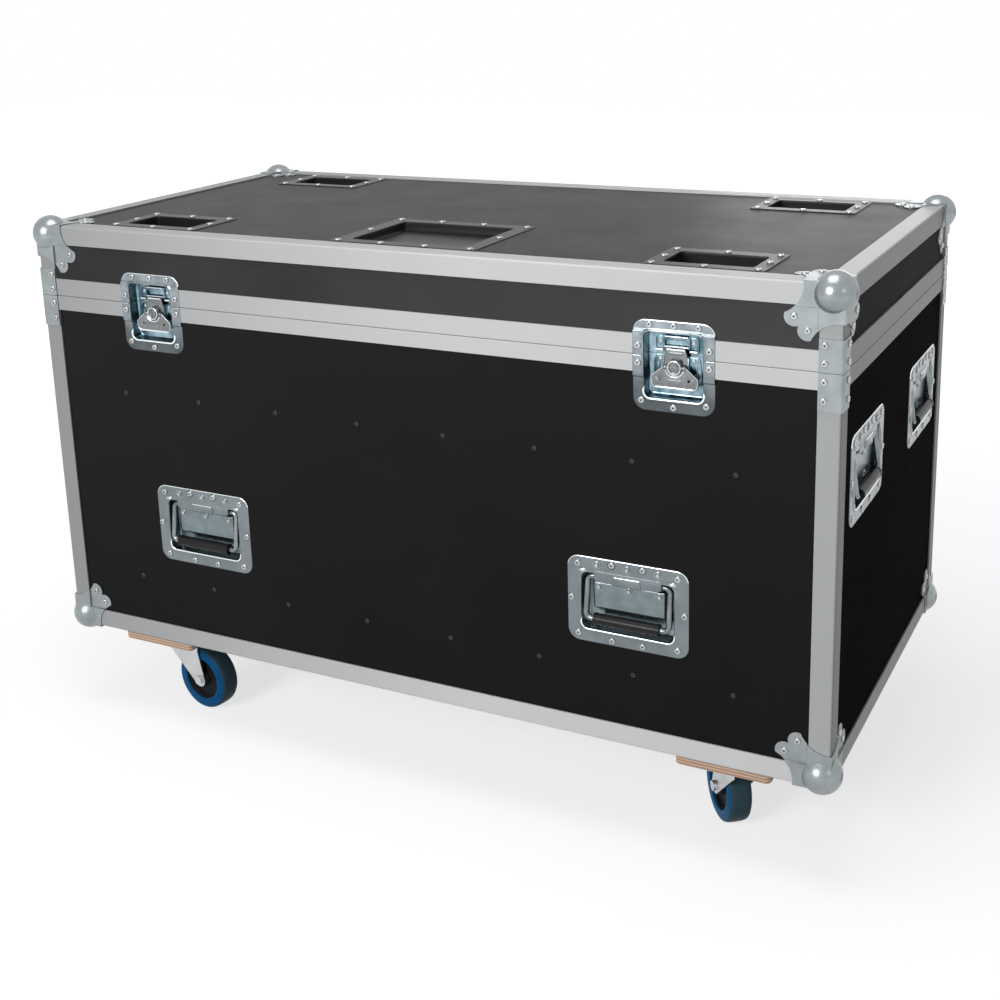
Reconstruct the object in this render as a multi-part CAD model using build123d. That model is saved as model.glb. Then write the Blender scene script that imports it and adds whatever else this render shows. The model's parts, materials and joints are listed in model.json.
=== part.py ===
from build123d import *
import os

os.makedirs("parts", exist_ok=True)

# Wheeled road case, standing on the floor at z = 0, front at -Y, lengths in millimetres

# Case body, over the aluminium profiles
case_length = 1200.0
case_depth = 600.0
case_height = 633.0
lid_height = 105.0
panel_thickness = 9.0
seam_gap = 0.3
edge_tolerance = 0.01
overrun = 5.0

# Edge profile: two outer legs, two inner lips and the ribs between them
profile_leg = 28.0
profile_thickness = 2.0
profile_edge_radius = 3.0
channel_wall = 1.5
channel_lip = 15.0

# Seam rails: the tongue on the base stands in the groove of the lid
lid_rail_height = 25.5
base_rail_height = 21.5
rail_lip_height = 17.0
rail_web = 2.0
tongue_width = 3.5
tongue_height = 4.0
tongue_inset = 5.0
groove_side_clearance = 1.5
groove_top_clearance = 1.0
seam_edge_radius = 0.9

# Ball corners and the braces beside the seam
corner_sheet = 1.5
ball_radius = 26.0
ball_inset = 14.0
ear_reach = 58.0
ear_middle = 42.0
ear_lobe_radius = 12.0
ear_web = 48.0
ear_cut_radius = 37.0
ear_cut_reach = 84.0
ear_cut_height = 4.0
lid_brace_height = 40.0
base_brace_height = 46.0
brace_corner_radius = 3.0
brace_rivet_inset = 21.0
lid_brace_rivet_heights = (10.6, 32.0)
base_brace_rivet_heights = (11.0, 34.0)

# Rivets and screws
rivet_radius = 4.4
rivet_height = 1.9
rivet_rounding = 1.5
rivet_eye_radius = 1.3
rivet_eye_depth = 1.2
ring_radius = 5.6
ring_height = 0.7
screw_radius = 3.4
screw_height = 1.2
screw_rounding = 0.8
screw_socket_radius = 1.4
screw_socket_depth = 0.8

# Stacking dishes and label dish, let into the lid top
dish_sheet = 1.2
dish_fit = 0.5
stack_end_inset = 181.5
stack_side_inset = 89.0
stack_width = 155.0
stack_length = 107.0
stack_opening_width = 115.0
stack_opening_length = 66.0
stack_depth = 28.0
dish_corner_radius = 3.0
opening_corner_radius = 5.0
stack_rivet_margin = 10.0
stack_side_margin = 8.5
label_front_inset = 128.0
label_width = 222.0
label_length = 184.0
label_opening_width = 176.0
label_opening_length = 141.0
label_depth = 11.0
label_rivet_margin = 10.0
label_side_margin = 8.5
label_rivet_share = 1 / 3

# Butterfly latches, measured from the seam
latch_end_inset = 203.5
latch_sheet = 1.2
latch_width = 104.5
latch_above = 44.0
latch_below = 69.5
latch_corner_radius = 16.0
latch_hole_width = 75.0
latch_hole_above = 29.5
latch_hole_below = 53.0
latch_hole_radius = 8.0
latch_depth = 15.0
latch_fit = 0.5
latch_top_rivet_drop = 5.7
latch_top_rivet_x = 31.0
latch_side_rivet_margin = 7.0
latch_side_rivet_above = 11.5
latch_side_rivet_below = 10.0
latch_bottom_rivet_x = 41.5
latch_bottom_rivet_rise = 12.5
latch_middle_rivet_rise = 6.7
pivot_drop = 13.5

# Latch keeper in the lid half
keeper_sheet = 1.2
keeper_ear_inner = 15.0
keeper_ear_outer = 27.0
keeper_bottom = 1.2
keeper_top = 23.5
keeper_bar_bottom = 8.0
keeper_rise = 4.0
keeper_window_bottom = 11.0
keeper_window_top = 18.0
keeper_rivet_x = 21.0
keeper_rivet_height = 16.0
mechanism_rivet_drop = 5.5
small_rivet_radius = 2.6
small_rivet_height = 1.2

# Latch link plate and its guides
link_half_width = 14.5
link_sheet = 1.5
link_stand_off = 5.5
link_top = 8.0
link_tail = 20.0
link_fold = 1.0
link_travel = 8.0
link_slot_clearance = 0.5
guide_gap = 0.4
guide_wall = 1.5
guide_plate_half_width = 30.0

# Latch boss with its cross pin, and the wing that folds on it
boss_spindle_radius = 5.0
boss_head_radius = 8.5
boss_flange_radius = 9.0
boss_flange_height = 1.6
boss_head_height = 4.6
boss_rounding = 0.8
boss_lift = 0.4
cross_pin_radius = 1.5
cross_pin_half_length = 14.5
wing_sheet = 1.4
wing_notch_clearance = 0.8
wing_pin_clearance = 0.05
wing_knuckle_radius = 2.5
wing_knuckle_inner = 9.5
wing_knuckle_outer = 14.0
wing_corner_x = 23.0
wing_corner_drop = 17.5
wing_corner_radius = 7.0
wing_bead_radius = 1.5
wing_bead_half_length = 21.0
wing_hole_radius = 1.8
wing_hole_x = 17.0
wing_hole_drop = 14.0

# Spring handles
long_handle_inset = 265.5
long_handle_height_share = 195.5 / 528
end_handle_inset = 140.0
end_handle_height_share = 376 / 528
handle_sheet = 1.2
handle_width = 165.0
handle_height = 117.5
handle_corner_radius = 16.0
handle_hole_width = 126.0
handle_hole_top = 37.0
handle_hole_bottom = 40.0
handle_hole_radius = 9.0
handle_depth = 18.0
handle_fit = 0.5
handle_tab_half_width = 45.0
handle_tab_bottom = 26.0
handle_bump_half_width = 18.5
handle_bump_top = 36.5
handle_bump_rise = 1.6
handle_corner_rivet_x = 68.0
handle_corner_rivet_y = 48.3
handle_middle_rivet_x = 21.0
handle_middle_rivet_y = 52.0
handle_side_rivet_margin = 5.4
handle_ring_rivet_x = 41.5
handle_ring_rivet_y = 48.6
handle_back_rivet_x = 41.5
handle_back_rivet_y = 17.0
bail_radius = 4.0
bail_pivot_height = 31.0
bail_drop = 56.0
bail_half_width = 56.5
bail_pin_inner = 29.0
bail_bend_radius = 7.5
bail_stand_off = 12.4
bail_lean_angle = 7.7
grip_radius = 8.2
grip_half_length = 45.0
grip_clearance = 0.05
grip_rounding = 1.5
barrel_radius = 5.4
barrel_inner = 27.5
barrel_outer = 46.0
barrel_clearance = 0.05
hinge_plate_half_width = 49.0
hinge_plate_bottom = -13.0
hinge_plate_top = 24.0
hinge_plate_rise = 13.0
hinge_plate_rounding = 2.5
hinge_plate_sheet = 1.2
hinge_plate_gap = 0.3
spring_outer_radius = 3.6
spring_inner_radius = 2.4
spring_half_length = 26.0
spring_post_radius = 2.2

# Rear hinges
hinge_end_inset = 180.0
hinge_sheet = 1.5
hinge_width = 76.0
hinge_lid_height = 23.0
hinge_base_height = 19.5
hinge_axis_out = 6.0
hinge_knuckle_radius = 5.0
hinge_pin_radius = 2.5
hinge_pin_clearance = 0.05
hinge_leaf_start = 6.0
hinge_knuckle_gap = 0.4
hinge_knuckles = 5
hinge_rivet_x = 26.0
hinge_rivet_height = 15.0
hinge_rivet_depth = 13.0

# Inner battens, held by rows of screws through the long panels
batten_width = 30.0
batten_thickness = 15.0
batten_gap = 1.0
batten_height_share = 101 / 528
batten_latch_gap = 68.3
screw_count = 8
screw_end_margin = 132.75
screw_row_offset = 8.0

# Casters
pad_thickness = 21.0
pad_width = 128.0
pad_length = 146.0
pad_corner_radius = 8.0
pad_edge_radius = 3.0
caster_end_inset = 143.5
caster_height = 125.0
caster_trail = 38.0
wheel_radius = 50.0
tyre_width = 32.0
tyre_shoulder = 5.0
rim_radius = 37.0
rim_width = 30.0
rim_wall = 6.0
web_width = 10.0
hub_boss_radius = 12.0
hub_boss_width = 33.0
axle_radius = 4.0
axle_clearance = 0.05
axle_nut_radius = 7.0
axle_nut_height = 4.0
fork_side_gap = 1.5
fork_sheet = 2.5
fork_head_back = 28.0
fork_head_front = 34.0
fork_head_top = 110.0
fork_head_height = 3.0
fork_skirt_height = 14.0
fork_foot_radius = 11.0
race_radius = 29.0
race_height = 5.0
race_rounding = 2.0
king_pin_radius = 6.0
king_pin_clearance = 0.05
king_pin_head = 9.0
king_pin_head_height = 2.5
caster_plate_length = 105.0
caster_plate_width = 85.0
caster_plate_sheet = 2.5
caster_plate_radius = 6.0
caster_seat_radius = 24.0
caster_seat_gap = 0.3
bolt_spacing_x = 80.0
bolt_spacing_y = 60.0
bolt_head_radius = 6.0
bolt_head_height = 4.0
front_left_angle = -8.0
front_right_angle = 129.0
rear_left_angle = 35.0
rear_right_angle = 160.0

# Levels above the floor, and insets from the outer faces
box_bottom = caster_height + pad_thickness
box_top = box_bottom + case_height
seam = box_top - lid_height
half_length = case_length / 2
half_depth = case_depth / 2
channel = profile_thickness + panel_thickness
panel_inset = channel + channel_wall
panel_top = box_top - profile_thickness
base_height = seam - box_bottom
latch_x = half_length - latch_end_inset
stack_x = half_length - stack_end_inset
stack_y = half_depth - stack_side_inset
label_y = label_front_inset - half_depth
caster_x = half_length - caster_end_inset
hinge_x = half_length - hinge_end_inset
hinge_places = (-hinge_x, 0, hinge_x)
groove_outer = tongue_inset - groove_side_clearance
groove_inner = tongue_inset + tongue_width + groove_side_clearance
groove_roof = seam + tongue_height + groove_top_clearance
lid_rail_web_top = groove_roof + rail_web


def block(x_range, y_range, z_range):
    ranges = (x_range, y_range, z_range)
    size = [high - low for low, high in ranges]
    middle = [(high + low) / 2 for low, high in ranges]
    return Pos(*middle) * Box(*size)


def slab(width, height, radius, low, high, middle_y=0):
    return Pos(0, middle_y, low) * extrude(RectangleRounded(width, height, radius), high - low)


def rod(radius, start, end):
    way = Vector(*end) - Vector(*start)
    plane = Plane(origin=start, z_dir=way)
    return extrude(plane * Circle(radius), way.length)


def save(node, shapes):
    solids = [solid for shape in shapes for solid in shape.solids()]
    export_step(Compound(children=solids), "parts/" + node + ".step")


# Planes on the outer faces: local x runs along the face, local y is up, local z points out
face_normals = {
    "front": Vector(0, -1, 0),
    "rear": Vector(0, 1, 0),
    "right": Vector(1, 0, 0),
    "left": Vector(-1, 0, 0),
}
face_distances = {"front": half_depth, "rear": half_depth, "right": half_length, "left": half_length}


def on_face(side, along, height):
    normal = face_normals[side]
    sideways = Vector(0, 0, 1).cross(normal)
    origin = normal * face_distances[side] + sideways * along + Vector(0, 0, height)
    return Plane(origin=origin, x_dir=sideways, z_dir=normal).location


def on_lid(x, y):
    return Pos(x, y, panel_top)


def at_corners(shape):
    other = mirror(shape, about=Plane.YZ)
    return [shape, other, mirror(shape, about=Plane.XZ), mirror(other, about=Plane.XZ)]


# Rings round the case, cut at 45 degrees into four lengths
def ring(outer_inset, inner_inset, z_range):
    outer_x, outer_y = half_length - outer_inset, half_depth - outer_inset
    inner_x, inner_y = half_length - inner_inset, half_depth - inner_inset
    outer = block((-outer_x, outer_x), (-outer_y, outer_y), z_range)
    inner = block((-inner_x, inner_x), (-inner_y, inner_y), (z_range[0] - overrun, z_range[1] + overrun))
    return outer - inner


def mitre_prisms(low, high):
    far_x, far_y = half_length + overrun, half_depth + overrun
    ridge = half_length - half_depth
    long_side = [(-far_x, -far_y), (far_x, -far_y), (ridge, 0), (-ridge, 0)]
    short_side = [(far_x, -far_y), (far_x, far_y), (ridge, 0)]
    prisms = []
    for outline in (long_side, short_side):
        face = make_face(Polyline(*outline, close=True))
        prism = Pos(0, 0, low) * extrude(face, high - low)
        prisms += [prism, Rot(0, 0, 180) * prism]
    return prisms


def cut_mitres(shape, low, high):
    return [shape & prism for prism in mitre_prisms(low, high)]


def edge_ring(outer_level, inward):
    def between(first, second):
        return sorted((outer_level + inward * first, outer_level + inward * second))

    shape = ring(0, profile_leg, between(0, profile_thickness))
    shape += ring(0, profile_thickness, between(0, profile_leg))
    shape += ring(channel, channel + channel_lip, between(channel, panel_inset))
    shape += ring(channel, panel_inset, between(profile_thickness, channel + channel_lip))
    shape += ring(profile_thickness, channel, between(channel, panel_inset))

    def is_outer(edge):
        middle = edge.center()
        on_side = abs(abs(middle.X) - half_length) < edge_tolerance
        on_front = abs(abs(middle.Y) - half_depth) < edge_tolerance
        return abs(middle.Z - outer_level) < edge_tolerance and (on_side or on_front)

    return fillet(shape.edges().filter_by(is_outer), profile_edge_radius)


def upright(low, high):
    x, y, z = half_length, half_depth, (low, high)
    shape = block((x - profile_leg, x), (y - profile_thickness, y), z)
    shape += block((x - profile_thickness, x), (y - profile_leg, y), z)
    shape += block((x - channel - channel_lip, x - channel), (y - panel_inset, y - channel), z)
    shape += block((x - panel_inset, x - channel), (y - channel - channel_lip, y - channel), z)
    shape += block((x - panel_inset, x - channel), (y - channel, y - profile_thickness), z)
    shape += block((x - channel, x - profile_thickness), (y - panel_inset, y - channel), z)

    def is_outer(edge):
        middle = edge.center()
        return abs(middle.X - x) < edge_tolerance and abs(middle.Y - y) < edge_tolerance

    return fillet(shape.edges().filter_by(is_outer), profile_edge_radius)


def round_seam(shape, level):
    def is_outer(edge):
        middle = edge.center()
        on_side = abs(abs(middle.X) - half_length) < edge_tolerance
        on_front = abs(abs(middle.Y) - half_depth) < edge_tolerance
        return abs(middle.Z - level) < edge_tolerance and (on_side or on_front)

    return fillet(shape.edges().filter_by(is_outer), seam_edge_radius)


def lid_rail():
    low, high = seam + seam_gap, seam + lid_rail_height
    shape = ring(0, profile_thickness, (low, high))
    shape += ring(profile_thickness, panel_inset, (low, lid_rail_web_top))
    shape += ring(channel, panel_inset, (low, low + rail_lip_height))
    shape -= ring(groove_outer, groove_inner, (low - overrun, groove_roof))
    return round_seam(shape, low)


def base_rail():
    high = seam - seam_gap
    shape = ring(0, profile_thickness, (seam - base_rail_height, high))
    shape += ring(profile_thickness, panel_inset, (high - rail_web, high))
    shape += ring(channel, panel_inset, (high - rail_lip_height, high))
    shape += ring(tongue_inset, tongue_inset + tongue_width, (high, seam + tongue_height))
    return round_seam(shape, high)


# Cut-outs that the fittings need in the panels and rails
def latch_cut():
    width = latch_hole_width + 2 * (latch_sheet + latch_fit)
    above = latch_hole_above + latch_sheet + latch_fit
    below = latch_hole_below + latch_sheet + latch_fit
    return block((-width / 2, width / 2), (-below, above), (-panel_inset - overrun, overrun))


def handle_cut():
    half_width = handle_hole_width / 2 + handle_sheet + handle_fit
    above = handle_hole_top + handle_sheet + handle_fit
    below = handle_hole_bottom + handle_sheet + handle_fit
    return block((-half_width, half_width), (-below, above), (-panel_inset - overrun, overrun))


def dish_cut(opening_width, opening_length):
    half_x = opening_width / 2 + dish_sheet + dish_fit
    half_y = opening_length / 2 + dish_sheet + dish_fit
    return block((-half_x, half_x), (-half_y, half_y), (-panel_thickness - overrun, overrun))


latch_places = [on_face("front", side * latch_x, seam) for side in (-1, 1)]
long_handle_x = half_length - long_handle_inset
long_handle_height = box_bottom + long_handle_height_share * base_height
end_handle_y = half_depth - end_handle_inset
end_handle_height = box_bottom + end_handle_height_share * base_height
handle_names = []
handle_places = []
for face, along, height in (
    ("front", long_handle_x, long_handle_height),
    ("rear", long_handle_x, long_handle_height),
    ("right", end_handle_y, end_handle_height),
    ("left", end_handle_y, end_handle_height),
):
    for number, side in enumerate((-1, 1), start=1):
        handle_names.append(face + "_" + str(number))
        handle_places.append(on_face(face, side * along, height))
stack_places = [on_lid(x * stack_x, y * stack_y) for x in (-1, 1) for y in (-1, 1)]
label_place = on_lid(0, label_y)


# Panels
def build_panels():
    inner_x, inner_y = half_length - panel_inset, half_depth - panel_inset
    lid_walls = (lid_rail_web_top, box_top - panel_inset)
    base_walls = (box_bottom + panel_inset, seam - seam_gap - rail_web)

    def wall_pair(z_range, across_x):
        near, far = -channel, -profile_thickness
        if across_x:
            front = block((-inner_x, inner_x), (-half_depth - far, -half_depth - near), z_range)
            return front, mirror(front, about=Plane.XZ)
        right = block((half_length + near, half_length + far), (-inner_y, inner_y), z_range)
        return right, mirror(right, about=Plane.YZ)

    lid_top = block((-inner_x, inner_x), (-inner_y, inner_y), (box_top - channel, panel_top))
    for place in stack_places:
        lid_top -= place * dish_cut(stack_opening_width, stack_opening_length)
    lid_top -= label_place * dish_cut(label_opening_width, label_opening_length)
    save("lid_top_panel", [lid_top])

    lid_front, lid_rear = wall_pair(lid_walls, True)
    base_front, base_rear = wall_pair(base_walls, True)
    for place in latch_places:
        lid_front -= place * latch_cut()
        base_front -= place * latch_cut()
    save("lid_wall_panels", [lid_front, lid_rear, *wall_pair(lid_walls, False)])

    base_right, base_left = wall_pair(base_walls, False)
    for name, place in zip(handle_names, handle_places):
        cut = place * handle_cut()
        if name.startswith("front"):
            base_front -= cut
        elif name.startswith("rear"):
            base_rear -= cut
        elif name.startswith("right"):
            base_right -= cut
        else:
            base_left -= cut
    save("base_long_panels", [base_front, base_rear])
    save("base_end_panels", [base_right, base_left])
    floor_levels = (box_bottom + profile_thickness, box_bottom + channel)
    save("base_floor_panel", [block((-inner_x, inner_x), (-inner_y, inner_y), floor_levels)])


# Aluminium profiles and seam rails
def build_profiles():
    lid_lengths = cut_mitres(edge_ring(box_top, -1), seam, box_top + overrun)
    lid_uprights = at_corners(upright(seam + lid_rail_height, box_top - profile_leg))
    save("lid_edge_profiles", lid_lengths + lid_uprights)
    base_lengths = cut_mitres(edge_ring(box_bottom, 1), box_bottom - overrun, seam)
    base_uprights = at_corners(upright(box_bottom + profile_leg, seam - base_rail_height))
    save("base_edge_profiles", base_lengths + base_uprights)

    for node, rail in (("lid_seam_rails", lid_rail()), ("base_seam_rails", base_rail())):
        for place in latch_places:
            rail -= place * latch_cut()
        save(node, cut_mitres(rail, box_bottom, box_top))


# Ball corner: a pressed shell over the corner with one ear on each of the three faces
def ear():
    levels = (-profile_thickness, corner_sheet)
    shape = block((-ear_web, 0), (-ear_web, 0), levels)
    shape += block((-ear_reach, 0), (-ear_middle, 0), levels)
    shape += block((-ear_middle, 0), (-ear_reach, 0), levels)
    lobe = extrude(Circle(ear_lobe_radius), corner_sheet + profile_thickness)
    cutter = extrude(Circle(ear_cut_radius), corner_sheet + profile_thickness)
    for first, second in ((ear_reach, ear_middle), (ear_middle, ear_reach)):
        shape += Pos(-first, -second, -profile_thickness) * lobe
    for first, second in ((ear_cut_reach, ear_cut_height), (ear_cut_height, ear_cut_reach)):
        shape -= Pos(-first, -second, -profile_thickness) * cutter
    far = ear_cut_reach
    under_x = block((-profile_leg, 0), (-far, 0), (-profile_thickness, 0))
    under_y = block((-far, 0), (-profile_leg, 0), (-profile_thickness, 0))
    step = profile_leg + corner_sheet
    above = block((-far, -step), (-far, -step), (corner_sheet - profile_thickness, corner_sheet))
    return shape - under_x - under_y - above


def ball_corner():
    centre = Pos(-ball_inset, -ball_inset, -ball_inset)
    reach = 2 * ball_radius
    case = block((-reach, 0), (-reach, 0), (-reach, 0))
    shape = centre * Sphere(ball_radius) - case
    shape += ear()
    shape += Plane(origin=(0, 0, 0), x_dir=(0, 1, 0), z_dir=(1, 0, 0)).location * ear()
    shape += Plane(origin=(0, 0, 0), x_dir=(0, 0, 1), z_dir=(0, 1, 0)).location * ear()
    end = (ear_cut_radius**2 - ear_cut_height**2) ** 0.5 - ear_cut_reach
    short, long = (0, corner_sheet), (end, corner_sheet)
    for ranges in ((short, short, long), (short, long, short), (long, short, short)):
        shape += block(*ranges)
    return shape - (centre * Sphere(ball_radius - corner_sheet) - case)


def build_corners():
    fitting = ball_corner()
    top = at_corners(Pos(half_length, half_depth, box_top) * fitting)
    bottom = at_corners(Pos(half_length, half_depth, box_bottom) * mirror(fitting, about=Plane.XY))
    save("lid_ball_corners", top)
    save("base_ball_corners", bottom)

    def brace(low, high):
        x, y = half_length, half_depth
        outer = block((x - profile_leg, x + corner_sheet), (y - profile_leg, y + corner_sheet), (low, high))
        shape = outer - block((x - 2 * profile_leg, x), (y - 2 * profile_leg, y), (low, high))
        return fillet(
            shape.edges().filter_by(Axis.Z).group_by(Axis((0, 0, 0), (1, 1, 0)))[-1], brace_corner_radius
        )

    save("lid_corner_braces", at_corners(brace(seam + seam_gap, seam + lid_brace_height)))
    save("base_corner_braces", at_corners(brace(seam - base_brace_height, seam - seam_gap)))


# Dishes of the lid top
def dish(width, length, opening_width, opening_length, depth):
    shape = slab(width, length, dish_corner_radius, 0, dish_sheet)
    wall_width, wall_length = opening_width + 2 * dish_sheet, opening_length + 2 * dish_sheet
    shape += slab(wall_width, wall_length, opening_corner_radius + dish_sheet, -depth - dish_sheet, dish_sheet)
    return shape - slab(opening_width, opening_length, opening_corner_radius, -depth, dish_sheet + overrun)


def build_dishes():
    stack = dish(stack_width, stack_length, stack_opening_width, stack_opening_length, stack_depth)
    label = dish(label_width, label_length, label_opening_width, label_opening_length, label_depth)
    save("lid_dishes", [place * stack for place in stack_places] + [label_place * label])


# Latch dish with its keeper above the seam and its guide plate below
def latch_dish():
    height = latch_above + latch_below
    middle = (latch_above - latch_below) / 2
    hole_height = latch_hole_above + latch_hole_below
    hole_middle = (latch_hole_above - latch_hole_below) / 2
    half = latch_width / 2
    flange = slab(latch_width, height, latch_corner_radius, -profile_thickness, latch_sheet, middle)
    flange -= block((-half, half), (-base_rail_height, lid_rail_height), (-profile_thickness, 0))
    tub = slab(
        latch_hole_width + 2 * latch_sheet,
        hole_height + 2 * latch_sheet,
        latch_hole_radius + latch_sheet,
        -latch_depth - latch_sheet,
        latch_sheet,
        hole_middle,
    )
    shape = flange + tub
    low = latch_sheet - profile_thickness
    step_up, step_down = lid_rail_height + latch_sheet, -base_rail_height - latch_sheet
    shape -= block((-half, half), (step_up, latch_above), (low, latch_sheet))
    shape -= block((-half, half), (-latch_below, step_down), (low, latch_sheet))
    return shape - slab(
        latch_hole_width, hole_height, latch_hole_radius, -latch_depth, latch_sheet + overrun, hole_middle
    )


def keeper():
    floor = -latch_depth
    front = floor + keeper_rise
    shape = None
    for side in (-1, 1):
        ear_range = sorted((side * keeper_ear_inner, side * keeper_ear_outer))
        ear_plate = block(ear_range, (keeper_bottom, keeper_top), (floor, floor + keeper_sheet))
        shape = ear_plate if shape is None else shape + ear_plate
        leg_range = sorted((side * keeper_ear_inner, side * (keeper_ear_inner + keeper_sheet)))
        shape += block(leg_range, (keeper_bar_bottom, keeper_top), (floor, front))
    bridge = block((-keeper_ear_inner, keeper_ear_inner), (keeper_bar_bottom, keeper_top), (front - keeper_sheet, front))
    window_half = keeper_ear_inner - keeper_sheet
    window = block((-window_half, window_half), (keeper_window_bottom, keeper_window_top), (floor, front))
    return shape + bridge - window


def guide_plate():
    floor = -latch_depth
    half = guide_plate_half_width
    bottom, top = -pivot_drop - link_tail, -keeper_bottom
    shape = block((-half, half), (bottom, top), (floor, floor + keeper_sheet))
    for side in (-1, 1):
        inner = link_half_width + guide_gap
        wall = sorted((side * inner, side * (inner + guide_wall)))
        shape += block(wall, (bottom, top), (floor, floor + link_stand_off + link_sheet))
    return shape


def build_latch_dishes():
    whole = latch_dish()
    half = latch_width
    levels = (-latch_depth - overrun, overrun)
    upper = whole & block((-half, half), (seam_gap, half), levels)
    lower = whole & block((-half, half), (-half, -seam_gap), levels)
    save("lid_latch_dishes", [place * part for place in latch_places for part in (upper, keeper())])
    save("base_latch_dishes", [place * part for place in latch_places for part in (lower, guide_plate())])


def latch_link():
    back = -latch_depth + link_stand_off
    front = back + link_sheet
    bottom = -pivot_drop - link_tail
    half = link_half_width
    shape = block((-half, half), (bottom, link_top), (back, front))
    shape += block((-half, half), (link_top - link_sheet, link_top), (back - link_fold, back))
    slot_half = boss_spindle_radius + link_slot_clearance
    slot_low = -pivot_drop - slot_half - link_travel
    return shape - block((-slot_half, slot_half), (slot_low, -pivot_drop + slot_half), (back, front))


flange_level = -latch_depth + link_stand_off + link_sheet + boss_lift
head_level = flange_level + boss_flange_height
fold_level = head_level + boss_head_height / 2


def latch_boss():
    foot = -latch_depth + keeper_sheet + seam_gap
    shape = rod(boss_spindle_radius, (0, -pivot_drop, foot), (0, -pivot_drop, flange_level))
    shape += rod(boss_flange_radius, (0, -pivot_drop, flange_level), (0, -pivot_drop, head_level))
    head = Pos(0, -pivot_drop, head_level) * extrude(Circle(boss_head_radius), boss_head_height)
    shape += fillet(head.edges().group_by(Axis.Z)[-1], boss_rounding)
    pin_half = cross_pin_half_length
    return shape + rod(cross_pin_radius, (-pin_half, -pivot_drop, fold_level), (pin_half, -pivot_drop, fold_level))


def latch_wing():
    lobes = [Pos(side * wing_corner_x, -wing_corner_drop) * Circle(wing_corner_radius) for side in (-1, 1)]
    shoulders = Rectangle(2 * wing_knuckle_outer, 2 * cross_pin_radius)
    outline = make_hull(lobes[0].edges() + lobes[1].edges() + shoulders.edges())
    outline -= Circle(boss_head_radius + wing_notch_clearance)
    inner, outer = wing_knuckle_inner, wing_knuckle_outer
    outline -= Pos(0, boss_head_radius) * Rectangle(2 * inner, 2 * boss_head_radius)
    for side in (-1, 1):
        outline -= Pos(side * wing_hole_x, -wing_hole_drop) * Circle(wing_hole_radius)
    shape = Pos(0, 0, -wing_sheet / 2) * extrude(outline, wing_sheet)
    for side in (-1, 1):
        shape += rod(wing_knuckle_radius, (side * inner, 0, 0), (side * outer, 0, 0))
    drop = wing_corner_drop + wing_corner_radius - wing_bead_radius
    half = wing_bead_half_length
    shape += rod(wing_bead_radius, (-half, -drop, 0), (half, -drop, 0))
    reach = wing_knuckle_outer + overrun
    shape -= rod(cross_pin_radius + wing_pin_clearance, (-reach, 0, 0), (reach, 0, 0))
    return Pos(0, -pivot_drop, fold_level) * shape


def build_latches():
    for name, place in zip(("left", "right"), latch_places):
        save("latch_link_" + name, [place * latch_link()])
        save("latch_boss_" + name, [place * latch_boss()])
        save("latch_wing_" + name, [place * latch_wing()])


# Spring handle: dish, hinge plate with barrels and spring, bail and grip
handle_floor = -profile_thickness - handle_depth
bail_level = handle_floor + bail_stand_off
hinge_plate_level = handle_floor + hinge_plate_rise


def handle_dish():
    face = handle_sheet - profile_thickness
    hole_height = handle_hole_top + handle_hole_bottom
    hole_middle = (handle_hole_top - handle_hole_bottom) / 2
    flange = slab(handle_width, handle_height, handle_corner_radius, -profile_thickness, face)
    tub = slab(
        handle_hole_width + 2 * handle_sheet,
        hole_height + 2 * handle_sheet,
        handle_hole_radius + handle_sheet,
        handle_floor - handle_sheet,
        face,
        hole_middle,
    )
    hollow = slab(handle_hole_width, hole_height, handle_hole_radius, handle_floor, overrun, hole_middle)
    tab_half = handle_tab_half_width
    tab = block((-tab_half, tab_half), (handle_tab_bottom, handle_hole_top), (-profile_thickness, face))
    bump_half = handle_bump_half_width
    bump = block((-bump_half, bump_half), (handle_tab_bottom, handle_bump_top), (face, face + handle_bump_rise))
    return flange + tub - hollow + tab + bump


def handle_hinge_plate():
    top = handle_hole_top - hinge_plate_gap
    half, wall = hinge_plate_half_width, hinge_plate_sheet
    bottom = hinge_plate_bottom
    shape = block((-half, half), (bottom, hinge_plate_top), (handle_floor, hinge_plate_level))
    ends = shape.faces().sort_by(Axis.Z)[-1].edges() + shape.edges().filter_by(Axis.Z)
    shape = fillet(ends, hinge_plate_rounding)
    inner = (handle_floor, hinge_plate_level - wall)
    shape -= block((wall - half, half - wall), (bottom + wall, hinge_plate_top - wall), inner)
    shape += block((-half, half), (hinge_plate_top - wall, top), (handle_floor, handle_floor + wall))
    for side in (-1, 1):
        span = sorted((side * barrel_inner, side * barrel_outer))
        sides = (bail_pivot_height - barrel_radius, bail_pivot_height + barrel_radius)
        shape += block(span, sides, (handle_floor, bail_level))
        shape += rod(barrel_radius, (span[0], bail_pivot_height, bail_level), (span[1], bail_pivot_height, bail_level))
    reach = barrel_outer + overrun
    start, end = (-reach, bail_pivot_height, bail_level), (reach, bail_pivot_height, bail_level)
    return shape - rod(bail_radius + barrel_clearance, start, end)


def handle_spring():
    half = spring_half_length
    start, end = (-half, bail_pivot_height, bail_level), (half, bail_pivot_height, bail_level)
    coil = rod(spring_outer_radius, start, end) - rod(spring_inner_radius, start, end)
    sheet_top = handle_floor + hinge_plate_sheet
    post_top = bail_level - spring_inner_radius
    post = rod(spring_post_radius, (0, bail_pivot_height, sheet_top), (0, bail_pivot_height, post_top))
    return coil + post


def leaned(shape):
    pivot = Pos(0, bail_pivot_height, bail_level)
    return pivot * Rot(-bail_lean_angle, 0, 0) * pivot.inverse() * shape


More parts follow.
